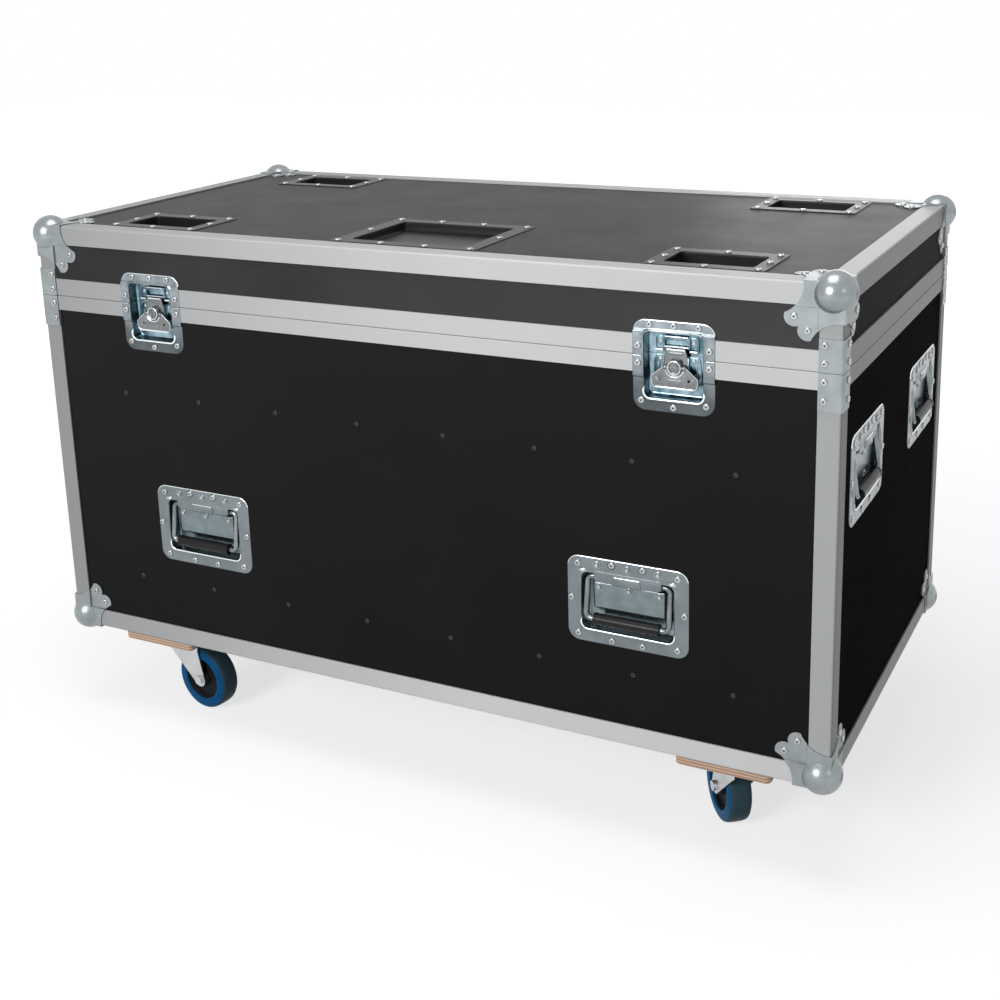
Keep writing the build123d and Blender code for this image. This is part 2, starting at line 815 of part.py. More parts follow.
def handle_bail():
    inner, outer = bail_pin_inner, bail_half_width
    top, bottom = bail_pivot_height, bail_pivot_height - bail_drop
    corners = [(inner, top), (outer, top), (outer, bottom), (-outer, bottom), (-outer, top), (-inner, top)]
    path = FilletPolyline(*[(x, y, bail_level) for x, y in corners], radius=bail_bend_radius)
    section = Plane(origin=(inner, top, bail_level), z_dir=(1, 0, 0)) * Circle(bail_radius)
    return leaned(sweep(section, path=path))


def handle_grip():
    bottom = bail_pivot_height - bail_drop
    half = grip_half_length
    start, end = (-half, bottom, bail_level), (half, bottom, bail_level)
    outer = rod(grip_radius, start, end)
    ends = outer.edges().group_by(Axis.X)
    outer = fillet(ends[0] + ends[-1], grip_rounding)
    return leaned(outer - rod(bail_radius + grip_clearance, start, end))


def build_handles():
    shell, plate, spring = handle_dish(), handle_hinge_plate(), handle_spring()
    bail, grip = handle_bail(), handle_grip()
    save("handle_dishes", [place * shell for place in handle_places])
    save("handle_hinge_plates", [place * part for place in handle_places for part in (plate, spring)])
    for name, place in zip(handle_names, handle_places):
        save("handle_bail_" + name, [place * bail])
        save("handle_grip_" + name, [place * grip])


# Rear hinges: five knuckles, the odd ones on the base
def hinge_leaf(upward, leaf_height, own_knuckles):
    half = hinge_width / 2
    levels = sorted((upward * hinge_leaf_start, upward * leaf_height))
    shape = block((-half, half), levels, (0, hinge_sheet))
    pitch = hinge_width / hinge_knuckles
    for number in own_knuckles:
        low = -half + number * pitch + hinge_knuckle_gap / 2
        high = low + pitch - hinge_knuckle_gap
        web = sorted((0, upward * hinge_leaf_start))
        shape += block((low, high), web, (0, hinge_sheet))
        web = sorted((0, upward * hinge_knuckle_radius))
        shape += block((low, high), web, (0, hinge_axis_out))
        shape += rod(hinge_knuckle_radius, (low, 0, hinge_axis_out), (high, 0, hinge_axis_out))
    return shape


def build_hinges():
    half = hinge_width / 2
    start, end = (-half, 0, hinge_axis_out), (half, 0, hinge_axis_out)
    pin = rod(hinge_pin_radius, start, end)
    lid_numbers = range(1, hinge_knuckles, 2)
    base_numbers = range(0, hinge_knuckles, 2)
    lid_leaf = hinge_leaf(1, hinge_lid_height, lid_numbers) - rod(hinge_pin_radius + hinge_pin_clearance, start, end)
    base_leaf = hinge_leaf(-1, hinge_base_height, base_numbers) - pin
    places = [on_face("rear", along, seam) for along in hinge_places]
    save("lid_hinge_leaves", [place * lid_leaf for place in places])
    save("base_hinge_leaves", [place * part for place in places for part in (base_leaf, pin)])


# Battens inside the long panels
def batten_rows():
    latch_cut_bottom = seam - latch_hole_below - latch_sheet - latch_fit
    upper = latch_cut_bottom - batten_latch_gap - batten_width / 2
    return [box_bottom + batten_height_share * base_height, upper]


def screw_places():
    span = case_length - 2 * screw_end_margin
    first = screw_row_offset - span / 2
    return [first + number * span / (screw_count - 1) for number in range(screw_count)]


def build_battens():
    half = half_length - channel - channel_lip - batten_gap
    battens = []
    for side in ("front", "rear"):
        for height in batten_rows():
            levels = (-channel - batten_thickness, -channel)
            strip = block((-half, half), (-batten_width / 2, batten_width / 2), levels)
            battens.append(on_face(side, 0, height) * strip)
    save("inner_battens", battens)


# Rivets and screws are heads seated on the sheet or panel that they hold
def rivet():
    head = extrude(Circle(rivet_radius), rivet_height)
    head = fillet(head.edges().group_by(Axis.Z)[-1], rivet_rounding)
    eye = extrude(Circle(rivet_eye_radius), rivet_eye_depth + overrun)
    return head - Pos(0, 0, rivet_height - rivet_eye_depth) * eye


def ring_rivet():
    return extrude(Circle(ring_radius), ring_height) + Pos(0, 0, ring_height) * small_rivet()


def small_rivet():
    head = extrude(Circle(small_rivet_radius), small_rivet_height)
    return fillet(head.edges().group_by(Axis.Z)[-1], small_rivet_height / 2)


def corner_rivet_places(x_side, y_side, z_side, level):
    sides = (x_side, y_side, z_side)
    corner = (x_side * half_length, y_side * half_depth, level)
    places = []
    for normal in range(3):
        first, second = [axis for axis in range(3) if axis != normal]
        for reach, middle in ((ear_reach, ear_middle), (ear_middle, ear_reach)):
            point = list(corner)
            point[normal] += sides[normal] * (corner_sheet - profile_thickness)
            point[first] -= sides[first] * reach
            point[second] -= sides[second] * middle
            direction = [0, 0, 0]
            direction[normal] = sides[normal]
            places.append(Plane(origin=point, z_dir=direction).location)
    return places


def brace_rivet_places(heights):
    places = []
    for side in ("front", "rear", "right", "left"):
        reach = half_length if side in ("front", "rear") else half_depth
        for along in (-reach + brace_rivet_inset, reach - brace_rivet_inset):
            places += [on_face(side, along, seam + height) * Pos(0, 0, corner_sheet) for height in heights]
    return places


def dish_rivet_places(place, width, length, side_margin, margin, columns):
    far_x, far_y = width / 2 - side_margin, length / 2 - margin
    spots = [(share * far_x, side * far_y) for share in columns for side in (-1, 1)]
    spots += [(-far_x, 0), (far_x, 0)]
    return [place * Pos(x, y, dish_sheet) for x, y in spots]


def latch_rivet_places():
    raised, lowered = latch_sheet, latch_sheet - profile_thickness
    side_x = latch_width / 2 - latch_side_rivet_margin
    top = latch_above - latch_top_rivet_drop
    lid_spots = [(x, top, lowered) for x in (-latch_top_rivet_x, 0, latch_top_rivet_x)]
    lid_spots += [(x, latch_side_rivet_above, raised) for x in (-side_x, side_x)]
    base_spots = [(x, -latch_side_rivet_below, raised) for x in (-side_x, side_x)]
    low = latch_bottom_rivet_rise - latch_below
    base_spots += [(x, low, lowered) for x in (-latch_bottom_rivet_x, latch_bottom_rivet_x)]
    base_spots.append((0, latch_middle_rivet_rise - latch_below, lowered))
    lid = [place * Pos(*spot) for place in latch_places for spot in lid_spots]
    base = [place * Pos(*spot) for place in latch_places for spot in base_spots]
    return lid, base


def mechanism_rivet_places():
    level = -latch_depth + keeper_sheet
    lid = [place * Pos(x, keeper_rivet_height, level) for place in latch_places for x in (-keeper_rivet_x, keeper_rivet_x)]
    drop = -mechanism_rivet_drop
    base = [place * Pos(x, drop, level) for place in latch_places for x in (-keeper_rivet_x, keeper_rivet_x)]
    return lid, base


def handle_rivet_places():
    level = handle_sheet - profile_thickness
    side_x = handle_width / 2 - handle_side_rivet_margin
    spots = [(-side_x, 0), (side_x, 0)]
    for x_side in (-1, 1):
        for y_side in (-1, 1):
            spots.append((x_side * handle_corner_rivet_x, y_side * handle_corner_rivet_y))
            spots.append((x_side * handle_middle_rivet_x, y_side * handle_middle_rivet_y))
    return [place * Pos(x, y, level) for place in handle_places for x, y in spots]


def handle_ring_places():
    level = handle_sheet - profile_thickness
    back = hinge_plate_level
    spots = [(x, handle_ring_rivet_y, level) for x in (-handle_ring_rivet_x, 0, handle_ring_rivet_x)]
    spots += [(x, handle_back_rivet_y, back) for x in (-handle_back_rivet_x, 0, handle_back_rivet_x)]
    return [place * Pos(*spot) for place in handle_places for spot in spots]


def hinge_rivet_places(height):
    spots = (-hinge_rivet_x, 0, hinge_rivet_x)
    return [on_face("rear", along + x, seam + height) * Pos(0, 0, hinge_sheet) for along in hinge_places for x in spots]


def build_rivets():
    head, ringed, small = rivet(), ring_rivet(), small_rivet()
    corners = [(x, y) for x in (-1, 1) for y in (-1, 1)]
    latch_lid, latch_base = latch_rivet_places()
    mechanism_lid, mechanism_base = mechanism_rivet_places()

    lid = [place for x, y in corners for place in corner_rivet_places(x, y, 1, box_top)]
    lid += brace_rivet_places(lid_brace_rivet_heights) + latch_lid + hinge_rivet_places(hinge_rivet_height)
    for place in stack_places:
        lid += dish_rivet_places(place, stack_width, stack_length, stack_rivet_margin, stack_side_margin, (-1, 0, 1))
    columns = (-1, -label_rivet_share, label_rivet_share, 1)
    lid += dish_rivet_places(label_place, label_width, label_length, label_rivet_margin, label_side_margin, columns)
    save("lid_rivets", [place * head for place in lid] + [place * small for place in mechanism_lid])

    base = [place for x, y in corners for place in corner_rivet_places(x, y, -1, box_bottom)]
    base += brace_rivet_places([-height for height in base_brace_rivet_heights]) + latch_base
    base += hinge_rivet_places(-hinge_rivet_depth) + handle_rivet_places()
    base_shapes = [place * head for place in base]
    base_shapes += [place * ringed for place in handle_ring_places()]
    base_shapes += [place * small for place in mechanism_base]
    save("base_rivets", base_shapes)

    socket = extrude(Circle(screw_socket_radius), screw_socket_depth + overrun)
    screw = extrude(Circle(screw_radius), screw_height)
    screw = fillet(screw.edges().group_by(Axis.Z)[-1], screw_rounding)
    screw -= Pos(0, 0, screw_height - screw_socket_depth) * socket
    screws = []
    for side, way in (("front", 1), ("rear", -1)):
        for height in batten_rows():
            for along in screw_places():
                screws.append(on_face(side, way * along, height) * Pos(0, 0, -profile_thickness) * screw)
    save("batten_screws", screws)


# Casters: wooden pad, top plate with king pin, swivelling fork with axle, hub and tyre
caster_names = ("front_left", "front_right", "rear_left", "rear_right")
caster_spots = ((-caster_x, -stack_y), (caster_x, -stack_y), (-caster_x, stack_y), (caster_x, stack_y))
caster_angles = (front_left_angle, front_right_angle, rear_left_angle, rear_right_angle)
race_top = fork_head_top + race_height


def caster_pad():
    outline = RectangleRounded(pad_width, pad_length, pad_corner_radius)
    shape = Pos(0, 0, caster_height) * extrude(outline, pad_thickness + profile_thickness)
    return fillet(shape.edges().group_by(Axis.Z)[0], pad_edge_radius)


def caster_plate():
    bottom = caster_height - caster_plate_sheet
    outline = RectangleRounded(caster_plate_length, caster_plate_width, caster_plate_radius)
    shape = Pos(0, 0, bottom) * extrude(outline, caster_plate_sheet)
    shape += rod(caster_seat_radius, (0, 0, race_top + caster_seat_gap), (0, 0, bottom))
    pin_bottom = fork_head_top - fork_head_height - caster_seat_gap
    shape += rod(king_pin_radius, (0, 0, pin_bottom), (0, 0, bottom))
    return shape + rod(king_pin_head, (0, 0, pin_bottom - king_pin_head_height), (0, 0, pin_bottom))


def caster_bolts():
    bottom = caster_height - caster_plate_sheet
    head = extrude(RegularPolygon(bolt_head_radius, 6), bolt_head_height)
    spots = [(x * bolt_spacing_x / 2, y * bolt_spacing_y / 2) for x in (-1, 1) for y in (-1, 1)]
    return [Pos(x, y, bottom - bolt_head_height) * head for x, y in spots]


def caster_fork():
    half = tyre_width / 2 + fork_side_gap
    outer = half + fork_sheet
    head_bottom = fork_head_top - fork_head_height
    skirt_middle = fork_head_top - fork_skirt_height / 2
    head_length = fork_head_back + fork_head_front
    head_middle = (fork_head_front - fork_head_back) / 2
    skirt = Pos(head_middle, skirt_middle) * Rectangle(head_length, fork_skirt_height)
    foot = Pos(caster_trail, wheel_radius) * Circle(fork_foot_radius)
    leg = extrude(Plane.XZ * make_hull(skirt.edges() + foot.edges()), fork_sheet)
    shape = Pos(0, -half, 0) * leg
    shape += Pos(0, outer, 0) * leg
    shape += block((-fork_head_back, fork_head_front), (-outer, outer), (head_bottom, fork_head_top))
    race = rod(race_radius, (0, 0, fork_head_top), (0, 0, race_top))
    shape += fillet(race.edges().group_by(Axis.Z)[-1], race_rounding)
    bore = king_pin_radius + king_pin_clearance
    shape -= rod(bore, (0, 0, head_bottom - overrun), (0, 0, race_top + overrun))
    reach = outer + axle_nut_height
    shape += rod(axle_radius, (caster_trail, -reach, wheel_radius), (caster_trail, reach, wheel_radius))
    for side in (-1, 1):
        start = (caster_trail, side * outer, wheel_radius)
        shape += rod(axle_nut_radius, start, (caster_trail, side * reach, wheel_radius))
    return shape


def along_axle(radius, width):
    start = (caster_trail, -width / 2, wheel_radius)
    return rod(radius, start, (caster_trail, width / 2, wheel_radius))


def caster_hub():
    shape = along_axle(rim_radius, rim_width) - along_axle(rim_radius - rim_wall, rim_width)
    shape += along_axle(rim_radius - rim_wall, web_width) + along_axle(hub_boss_radius, hub_boss_width)
    return shape - along_axle(axle_radius + axle_clearance, hub_boss_width)


def caster_tyre():
    shape = along_axle(wheel_radius, tyre_width)
    ends = shape.edges().group_by(Axis.Y)
    shape = fillet(ends[0] + ends[-1], tyre_shoulder)
    return shape - along_axle(rim_radius, tyre_width)


def build_casters():
    plates, pads = [], []
    bottom_legs = ring(0, profile_leg, (box_bottom, box_bottom + profile_thickness))
    for name, spot, angle in zip(caster_names, caster_spots, caster_angles):
        place = Pos(*spot, 0)
        turned = place * Rot(0, 0, angle)
        pads.append(place * caster_pad() - bottom_legs)
        plates += [place * part for part in (caster_plate(), *caster_bolts())]
        save("caster_fork_" + name, [turned * caster_fork()])
        save("caster_hub_" + name, [turned * caster_hub()])
        save("caster_tyre_" + name, [turned * caster_tyre()])
    save("caster_pads", pads)
    save("caster_plates", plates)


build_panels()
build_profiles()
build_corners()
build_dishes()
build_latch_dishes()
build_latches()
build_handles()
build_hinges()
build_battens()
build_rivets()
build_casters()
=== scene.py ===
import json
from math import cos, hypot, inf, pi, radians, sin

import bmesh
import bpy
from mathutils import Matrix, Vector


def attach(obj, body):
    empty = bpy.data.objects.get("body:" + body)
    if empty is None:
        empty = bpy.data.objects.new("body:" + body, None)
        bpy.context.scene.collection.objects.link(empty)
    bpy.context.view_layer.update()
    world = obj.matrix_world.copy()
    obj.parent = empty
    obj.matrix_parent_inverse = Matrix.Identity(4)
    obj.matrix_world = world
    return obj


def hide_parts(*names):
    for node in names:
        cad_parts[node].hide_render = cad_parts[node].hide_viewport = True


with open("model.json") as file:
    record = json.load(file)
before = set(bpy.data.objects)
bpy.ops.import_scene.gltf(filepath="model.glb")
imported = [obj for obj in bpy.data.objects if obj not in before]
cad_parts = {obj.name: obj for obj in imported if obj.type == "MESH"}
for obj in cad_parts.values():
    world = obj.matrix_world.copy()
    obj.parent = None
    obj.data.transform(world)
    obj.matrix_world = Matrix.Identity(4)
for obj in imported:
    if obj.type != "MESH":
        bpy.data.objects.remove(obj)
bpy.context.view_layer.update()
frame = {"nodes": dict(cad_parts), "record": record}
MM = 0.001
UP = Vector((0, 0, 1))
NORMALS = {"front": Vector((0, -1, 0)), "rear": Vector((0, 1, 0)),
           "right": Vector((1, 0, 0)), "left": Vector((-1, 0, 0))}

# The photograph's camera, solved from the straight edges of the case
CAMERA_PLACE = (0.9939, -1.8806, 1.1337)
YAW, PITCH, ROLL = radians(26.96), radians(14.48), radians(-1.50)
SENSOR_WIDTH, LENS, SHIFT_X, SHIFT_Y = 36, 52.70, -0.018, -0.1594

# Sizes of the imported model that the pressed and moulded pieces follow, in millimetres
HALF_X, HALF_Y = 600, 300
LID_TOP, PANEL_TOP, SEAM, BOX_BOTTOM = 779, 777, 674, 146
LATCH_X, BOSS_Y, WING_Z = 396.5, -13.5, -3.7
STACKING_X, STACKING_Y, LABEL_Y = 418.5, 211, -172
HANDLES = [(side, sign * along, height, number)
           for side, along, height in (("front", 334.5, 341.5), ("rear", 334.5, 341.5),
                                       ("right", 160, 522), ("left", 160, 522))
           for number, sign in ((1, -1), (2, 1))]

# Casters: swivel axis and turn in degrees, then the wheel's distance from that axis and its radius
CASTERS = {"front_left": (-456.5, -211, -8), "front_right": (456.5, -211, 129),
           "rear_left": (-456.5, 211, 35), "rear_right": (456.5, 211, 160)}
TRAIL, WHEEL_RADIUS = 38, 50

# Dishes: flange and opening, each as half width, half height, corner radius and middle, then depth
STACKING_DISH = ((77.5, 53.5, 4, (0, 0)), (57.5, 33, 5.5, (0, 0)), 28)
LABEL_DISH = ((111, 92, 4, (0, 0)), (88, 70.5, 5.5, (0, 0)), 11)
HANDLE_DISH = ((82.5, 58.75, 16, (0, 0)), (63, 38.5, 9, (0, -1.5)), 20)
LATCH_DISH = ((52.25, 56.75, 16, (0, -12.75)), (37.5, 41.25, 8, (0, -11.75)), 15)


def make_camera():
    data = bpy.data.cameras.new("camera")
    data.sensor_width, data.lens = SENSOR_WIDTH, LENS
    data.shift_x, data.shift_y = SHIFT_X, SHIFT_Y
    back = Vector((sin(YAW) * cos(PITCH), -cos(YAW) * cos(PITCH), sin(PITCH)))
    right = (-back).cross(UP).normalized()
    up = right.cross(-back)
    x_axis = cos(ROLL) * right + sin(ROLL) * up
    y_axis = -sin(ROLL) * right + cos(ROLL) * up
    camera = bpy.data.objects.new("camera", data)
    camera.matrix_world = Matrix((x_axis, y_axis, back)).transposed().to_4x4()
    camera.matrix_world.translation = Vector(CAMERA_PLACE)
    bpy.context.scene.collection.objects.link(camera)
    bpy.context.scene.camera = camera


# Nearly all of a noise lies between these two values
NOISE_LOW, NOISE_HIGH = 0.3, 0.7
# Share of a normal along an axis from which a face counts as turned that way, softly
TURNED = (0.5, 0.8)
# Heights in metres between which the aluminium is an upright, on the base and on the lid, where it
# takes a painted shade
UPRIGHTS = ((0.174, 0.6525), (0.6995, 0.751))
BAND_SOFTNESS = 0.0002
# Depths behind the outer faces, in metres, over which a dish's zinc turns to its recess tone
RECESS_FROM, RECESS_TO = 0.002, 0.009
# Foot of the caster pads' plies and the thickness of one, in metres
PLY_FOOT, PLY = 0.125, 0.0021


def scaled(tone, share):
    return tuple(share * c for c in tone)


# Node helpers for the procedural materials
class Paint:
    def __init__(self, name, **values):
        self.material = bpy.data.materials.new(name)
        self.material.use_nodes = True
        self.tree = self.material.node_tree
        self.tree.nodes.clear()
        out = self.tree.nodes.new("ShaderNodeOutputMaterial")
        self.shader = self.tree.nodes.new("ShaderNodeBsdfPrincipled")
        self.tree.links.new(self.shader.outputs[0], out.inputs[0])
        for key, value in values.items():
            self.shader.inputs[key.replace("_", " ")].default_value = value
        self.coords = self.tree.nodes.new("ShaderNodeTexCoord").outputs["Object"]

    def node(self, kind, inputs=(), **settings):
        made = self.tree.nodes.new(kind)
        for key, value in settings.items():
            setattr(made, key, value)
        for key, value in dict(inputs).items():
            if isinstance(value, bpy.types.NodeSocket):
                self.tree.links.new(value, made.inputs[key])
            else:
                made.inputs[key].default_value = value
        return made

    def stretched(self, scale):
        return self.node("ShaderNodeMapping", {"Vector": self.coords, "Scale": scale}).outputs[0]

    def noise(self, scale, detail=3, vector=None, roughness=0.55):
        inputs = {"Vector": vector or self.coords, "Scale": scale, "Detail": detail,
                  "Roughness": roughness}
        return self.node("ShaderNodeTexNoise", inputs).outputs["Fac"]

    # One random value per crystal
    def spangle(self, scale):
        cells = self.node("ShaderNodeTexVoronoi", {"Vector": self.coords, "Scale": scale})
        return self.node("ShaderNodeSeparateColor", {0: cells.outputs["Color"]}).outputs[0]

    def spread(self, value, low, high, to_low=0, to_high=1):
        keys = {"Value": value, "From Min": low, "From Max": high,
                "To Min": to_low, "To Max": to_high}
        return self.node("ShaderNodeMapRange", keys, clamp=True).outputs[0]

    def even(self, noise, to_low=0, to_high=1):
        return self.spread(noise, NOISE_LOW, NOISE_HIGH, to_low, to_high)

    def sum(self, first, second, kind="ADD"):
        return self.node("ShaderNodeMath", {0: first, 1: second}, operation=kind).outputs[0]

    # 1 between two values and 0 outside them
    def band(self, value, low, high):
        above = self.spread(value, low - BAND_SOFTNESS, low + BAND_SOFTNESS)
        below = self.spread(value, high - BAND_SOFTNESS, high + BAND_SOFTNESS, 1, 0)
        return self.sum(above, below, "MULTIPLY")

    def blend(self, factor, first, second):
        made = self.node("ShaderNodeMix", data_type="RGBA")
        sockets = (made.inputs[0], made.inputs[6], made.inputs[7])
        for socket, value in zip(sockets, (factor, first, second)):
            if isinstance(value, bpy.types.NodeSocket):
                self.tree.links.new(value, socket)
            else:
                socket.default_value = value if isinstance(value, (int, float)) else (*value, 1)
        return made.outputs[2]

    def give(self, key, value):
        self.tree.links.new(value, self.shader.inputs[key])

    def bump(self, height, distance, strength=1.0):
        inputs = {"Height": height, "Distance": distance, "Strength": strength}
        self.give("Normal", self.node("ShaderNodeBump", inputs).outputs[0])

    def axis(self, name):
        return self.node("ShaderNodeSeparateXYZ", {0: self.coords}).outputs[name]

    def normal_axis(self, name):
        normal = self.tree.nodes.new("ShaderNodeNewGeometry").outputs["Normal"]
        own = self.node("ShaderNodeVectorTransform", {0: normal}, vector_type="NORMAL",
                        convert_from="WORLD", convert_to="OBJECT")
        return self.node("ShaderNodeSeparateXYZ", {0: own.outputs[0]}).outputs[name]

    # Share of the normal along an axis, whichever way it points
    def facing(self, name):
        return self.sum(self.normal_axis(name), 0, "ABSOLUTE")


# Black laminate: fine pebble grain, faint handling marks and a little dust. Its tone fades from low
# to high along one axis as painted light, and faces that look along X can have a tone of their own,
# a painted shade.
def laminate(name, low, high, shine, fade=("Z", 0.2, 0.66), ends=None):
    paint = Paint(name, Metallic=0.0, Specular_IOR_Level=shine)
    cloud = paint.noise(5.0, 4)
    grain = paint.noise(1500.0, 2)
    scuff = paint.noise(9.0, 5, paint.stretched((1.0, 1.0, 6.0)), 0.7)
    axis, start, end = fade
    # Painted light: the tone fades from low to high along the given axis
    shade = paint.blend(paint.spread(paint.axis(axis), start, end), low, high)
    # Painted shade on faces that look along X
    if ends:
        shade = paint.blend(paint.spread(paint.facing("X"), *TURNED), shade, ends)
    shade = paint.blend(paint.even(cloud, 0, 0.3), shade, scaled(high, 1.4))
    shade = paint.blend(paint.spread(grain, 0.55, 0.8, 0, 0.2), shade, (0.024, 0.024, 0.0245))
    paint.give("Base Color", shade)
    marks = paint.spread(scuff, 0.35, 0.75, 0.40, 0.47)
    paint.give("Roughness", paint.sum(marks, paint.even(grain, -0.03, 0.03)))
    paint.bump(grain, 0.00006, 0.5)
    return paint.material


# Anodised aluminium: pale satin with a fine grain, with painted shade on the uprights, towards the
# left end, and on faces that look along X or up
def aluminium():
    paint = Paint("aluminium_satin", Metallic=0.04, Specular_IOR_Level=0.06)
    grain = paint.noise(900.0, 3)
    cloud = paint.noise(3.0, 4)
    tone = paint.blend(paint.even(cloud), (0.80, 0.81, 0.815), (0.86, 0.87, 0.875))
    height = paint.axis("Z")
    # Painted shade: the uprights darker than the rails
    uprights = paint.sum(*(paint.band(height, *ends) for ends in UPRIGHTS))
    tone = paint.blend(uprights, tone, (0.58, 0.595, 0.60))
    # Painted shade: darker towards the left end
    leftward_shade = paint.spread(paint.axis("X"), -0.6, 0.1, 0.8, 0)
    tone = paint.blend(leftward_shade, tone, (0.36, 0.37, 0.375))
    # Painted shade on faces that look along X or up
    away = paint.sum(paint.facing("X"), paint.normal_axis("Z"), "MAXIMUM")
    tone = paint.blend(paint.spread(away, *TURNED, 0, 0.45), tone, (0.40, 0.41, 0.415))
    tone = paint.blend(paint.spread(grain, 0.5, 0.8, 0, 0.2), tone, (0.46, 0.47, 0.48))
    paint.give("Base Color", tone)
    paint.give("Roughness", paint.even(grain, 0.34, 0.42))
    paint.bump(grain, 0.00002, 0.4)
    return paint.material


# Zinc plate: bluish and bright, with soft spangle, press waves and small dull spots. A dish can
# turn bluer with depth and a little darker there as painted shade, and darker below a height as
# painted shade, and a corner can take painted shade on its end faces.
def zinc(name, light, dark, rough, wave=0.0002, recess=None, shaded=None, end_shade=0.0):
    paint = Paint(name, Metallic=1.0)
    cloud = paint.noise(38.0, 5)
    spots = paint.noise(420.0, 3)
    tone = paint.blend(paint.even(cloud), light, dark)
    tone = paint.blend(paint.spread(spots, 0.62, 0.8, 0, 0.35), tone, scaled(dark, 0.72))
    # Painted shade: darker below a height
    if shaded:
        lower = paint.spread(paint.axis("Z"), *shaded, 0.75, 0)
        tone = paint.blend(lower, tone, scaled(dark, 0.33))
    # Painted shade on faces that look along X
    if end_shade:
        ends = paint.spread(paint.facing("X"), 0.93, 0.99, 0, end_shade)
        tone = paint.blend(ends, tone, scaled(dark, 0.3))
    # Bluer with depth, and a little darker there as painted shade
    if recess:
        along, across = (paint.sum(paint.axis(letter), 0, "ABSOLUTE") for letter in "XY")
        from_end = paint.sum(HALF_X * MM, along, "SUBTRACT")
        from_side = paint.sum(HALF_Y * MM, across, "SUBTRACT")
        depth = paint.sum(from_end, from_side, "MINIMUM")
        blue = paint.blend(paint.spread(paint.noise(48.0, 4), 0.36, 0.64), *recess)
        tone = paint.blend(paint.spread(depth, RECESS_FROM, RECESS_TO), tone, blue)
    paint.give("Base Color", tone)
    crystals = paint.spread(paint.spangle(260.0), 0, 1, 0, 0.05)
    paint.give("Roughness", paint.sum(paint.even(cloud, *rough), crystals))
    paint.bump(paint.noise(70.0, 3), wave, 0.55)
    return paint.material


# Dark steel for rivet mandrels, darker than the steel is as painted shade in the rivets' eyes
def dark_steel():
    paint = Paint("dark_steel", Metallic=0.9)
    cloud = paint.noise(600.0, 3)
    paint.give("Base Color", paint.blend(cloud, (0.045, 0.045, 0.048), (0.10, 0.10, 0.105)))
    paint.give("Roughness", paint.even(cloud, 0.4, 0.6))
    return paint.material


# Black powder coat with orange peel
def powder_black(name, tone, rough, shine=0.5):
    paint = Paint(name, Metallic=0.0, Specular_IOR_Level=shine)
    peel = paint.noise(700.0, 2)
    cloud = paint.noise(14.0, 4)
    paint.give("Base Color", paint.blend(paint.even(cloud), tone, scaled(tone, 1.5)))
    paint.give("Roughness", paint.even(peel, rough - 0.04, rough + 0.05))
    paint.bump(peel, 0.00008, 0.5)
    return paint.material


# Plywood: grain on the faces, light and dark plies on the edges
def plywood():
    paint = Paint("pad_plywood", Metallic=0.0, Specular_IOR_Level=0.3)
    grain = paint.noise(1.0, 5, paint.stretched((14.0, 260.0, 260.0)), 0.6)
    face = paint.blend(paint.spread(grain, 0.35, 0.7), (0.80, 0.58, 0.40), (0.66, 0.43, 0.26))
    height = paint.sum(paint.axis("Z"), paint.even(paint.noise(30.0, 3), -0.0004, 0.0004))
    layer = paint.sum(paint.sum(height, -PLY_FOOT), 1 / PLY, "MULTIPLY")
    odd = paint.sum(paint.sum(layer, 2.0, "MODULO"), 1.0, "GREATER_THAN")
    pores = paint.spread(paint.noise(1.0, 3, paint.stretched((500.0, 500.0, 1500.0))), 0.4, 0.7)
    light = paint.blend(pores, (0.86, 0.66, 0.52), (0.76, 0.55, 0.41))
    dark = paint.blend(pores, (0.60, 0.39, 0.27), (0.46, 0.28, 0.18))
    edge = paint.blend(odd, light, dark)
    flat = paint.spread(paint.facing("Z"), *TURNED)
    paint.give("Base Color", paint.blend(flat, edge, face))
    paint.give("Roughness", paint.even(grain, 0.5, 0.68))
    paint.bump(grain, 0.0001, 0.4)
    return paint.material


def birch():
    paint = Paint("batten_wood", Metallic=0.0, Specular_IOR_Level=0.3)
    grain = paint.noise(1.0, 6, paint.stretched((5.0, 160.0, 160.0)), 0.62)
    knots = paint.spread(paint.noise(7.0, 3), 0.66, 0.8, 0, 0.5)
    tone = paint.blend(paint.even(grain), (0.74, 0.57, 0.38), (0.60, 0.42, 0.25))
    paint.give("Base Color", paint.blend(knots, tone, (0.36, 0.22, 0.11)))
    paint.give("Roughness", paint.even(grain, 0.5, 0.65))
    paint.bump(grain, 0.0001, 0.4)
    return paint.material


# Rubber and hard plastic: nearly plain, with fine specks
def rubber(name, tone, rough, speck=(0.03, 0.03, 0.03), shine=0.08):
    paint = Paint(name, Metallic=0.0, Specular_IOR_Level=shine)
    cloud = paint.noise(60.0, 4)
    fine = paint.noise(1300.0, 2)
    shade = paint.blend(paint.even(cloud), tone, scaled(tone, 1.25))
    paint.give("Base Color", paint.blend(paint.spread(fine, 0.6, 0.8, 0, 0.3), shade, speck))
    paint.give("Roughness", paint.even(cloud, rough - 0.05, rough + 0.06))
    paint.bump(fine, 0.00005, 0.5)
    return paint.material


# Painted light: the base's laminate fades lighter upwards
LAMINATE = laminate("laminate_black", (0.0062, 0.0062, 0.0063), (0.0150, 0.0150, 0.0152), 0.06)
# A lit copy of the laminate for the lid walls: painted lighter, more so to the right, with painted
# shade on their ends
LAMINATE_LID_LIT = laminate("laminate_lid_lit", (0.036, 0.036, 0.0363), (0.088, 0.088, 0.0890), 0.002,
                        ("X", -0.6, 0.5), (0.056, 0.056, 0.0565))
# A shaded copy of the laminate for the end panels: almost no shine as painted shade, and a tone
# that fades lighter upwards as painted light
LAMINATE_END_SHADED = laminate("laminate_end_shaded", (0.008, 0.008, 0.0081), (0.014, 0.014, 0.0141), 0.0003)
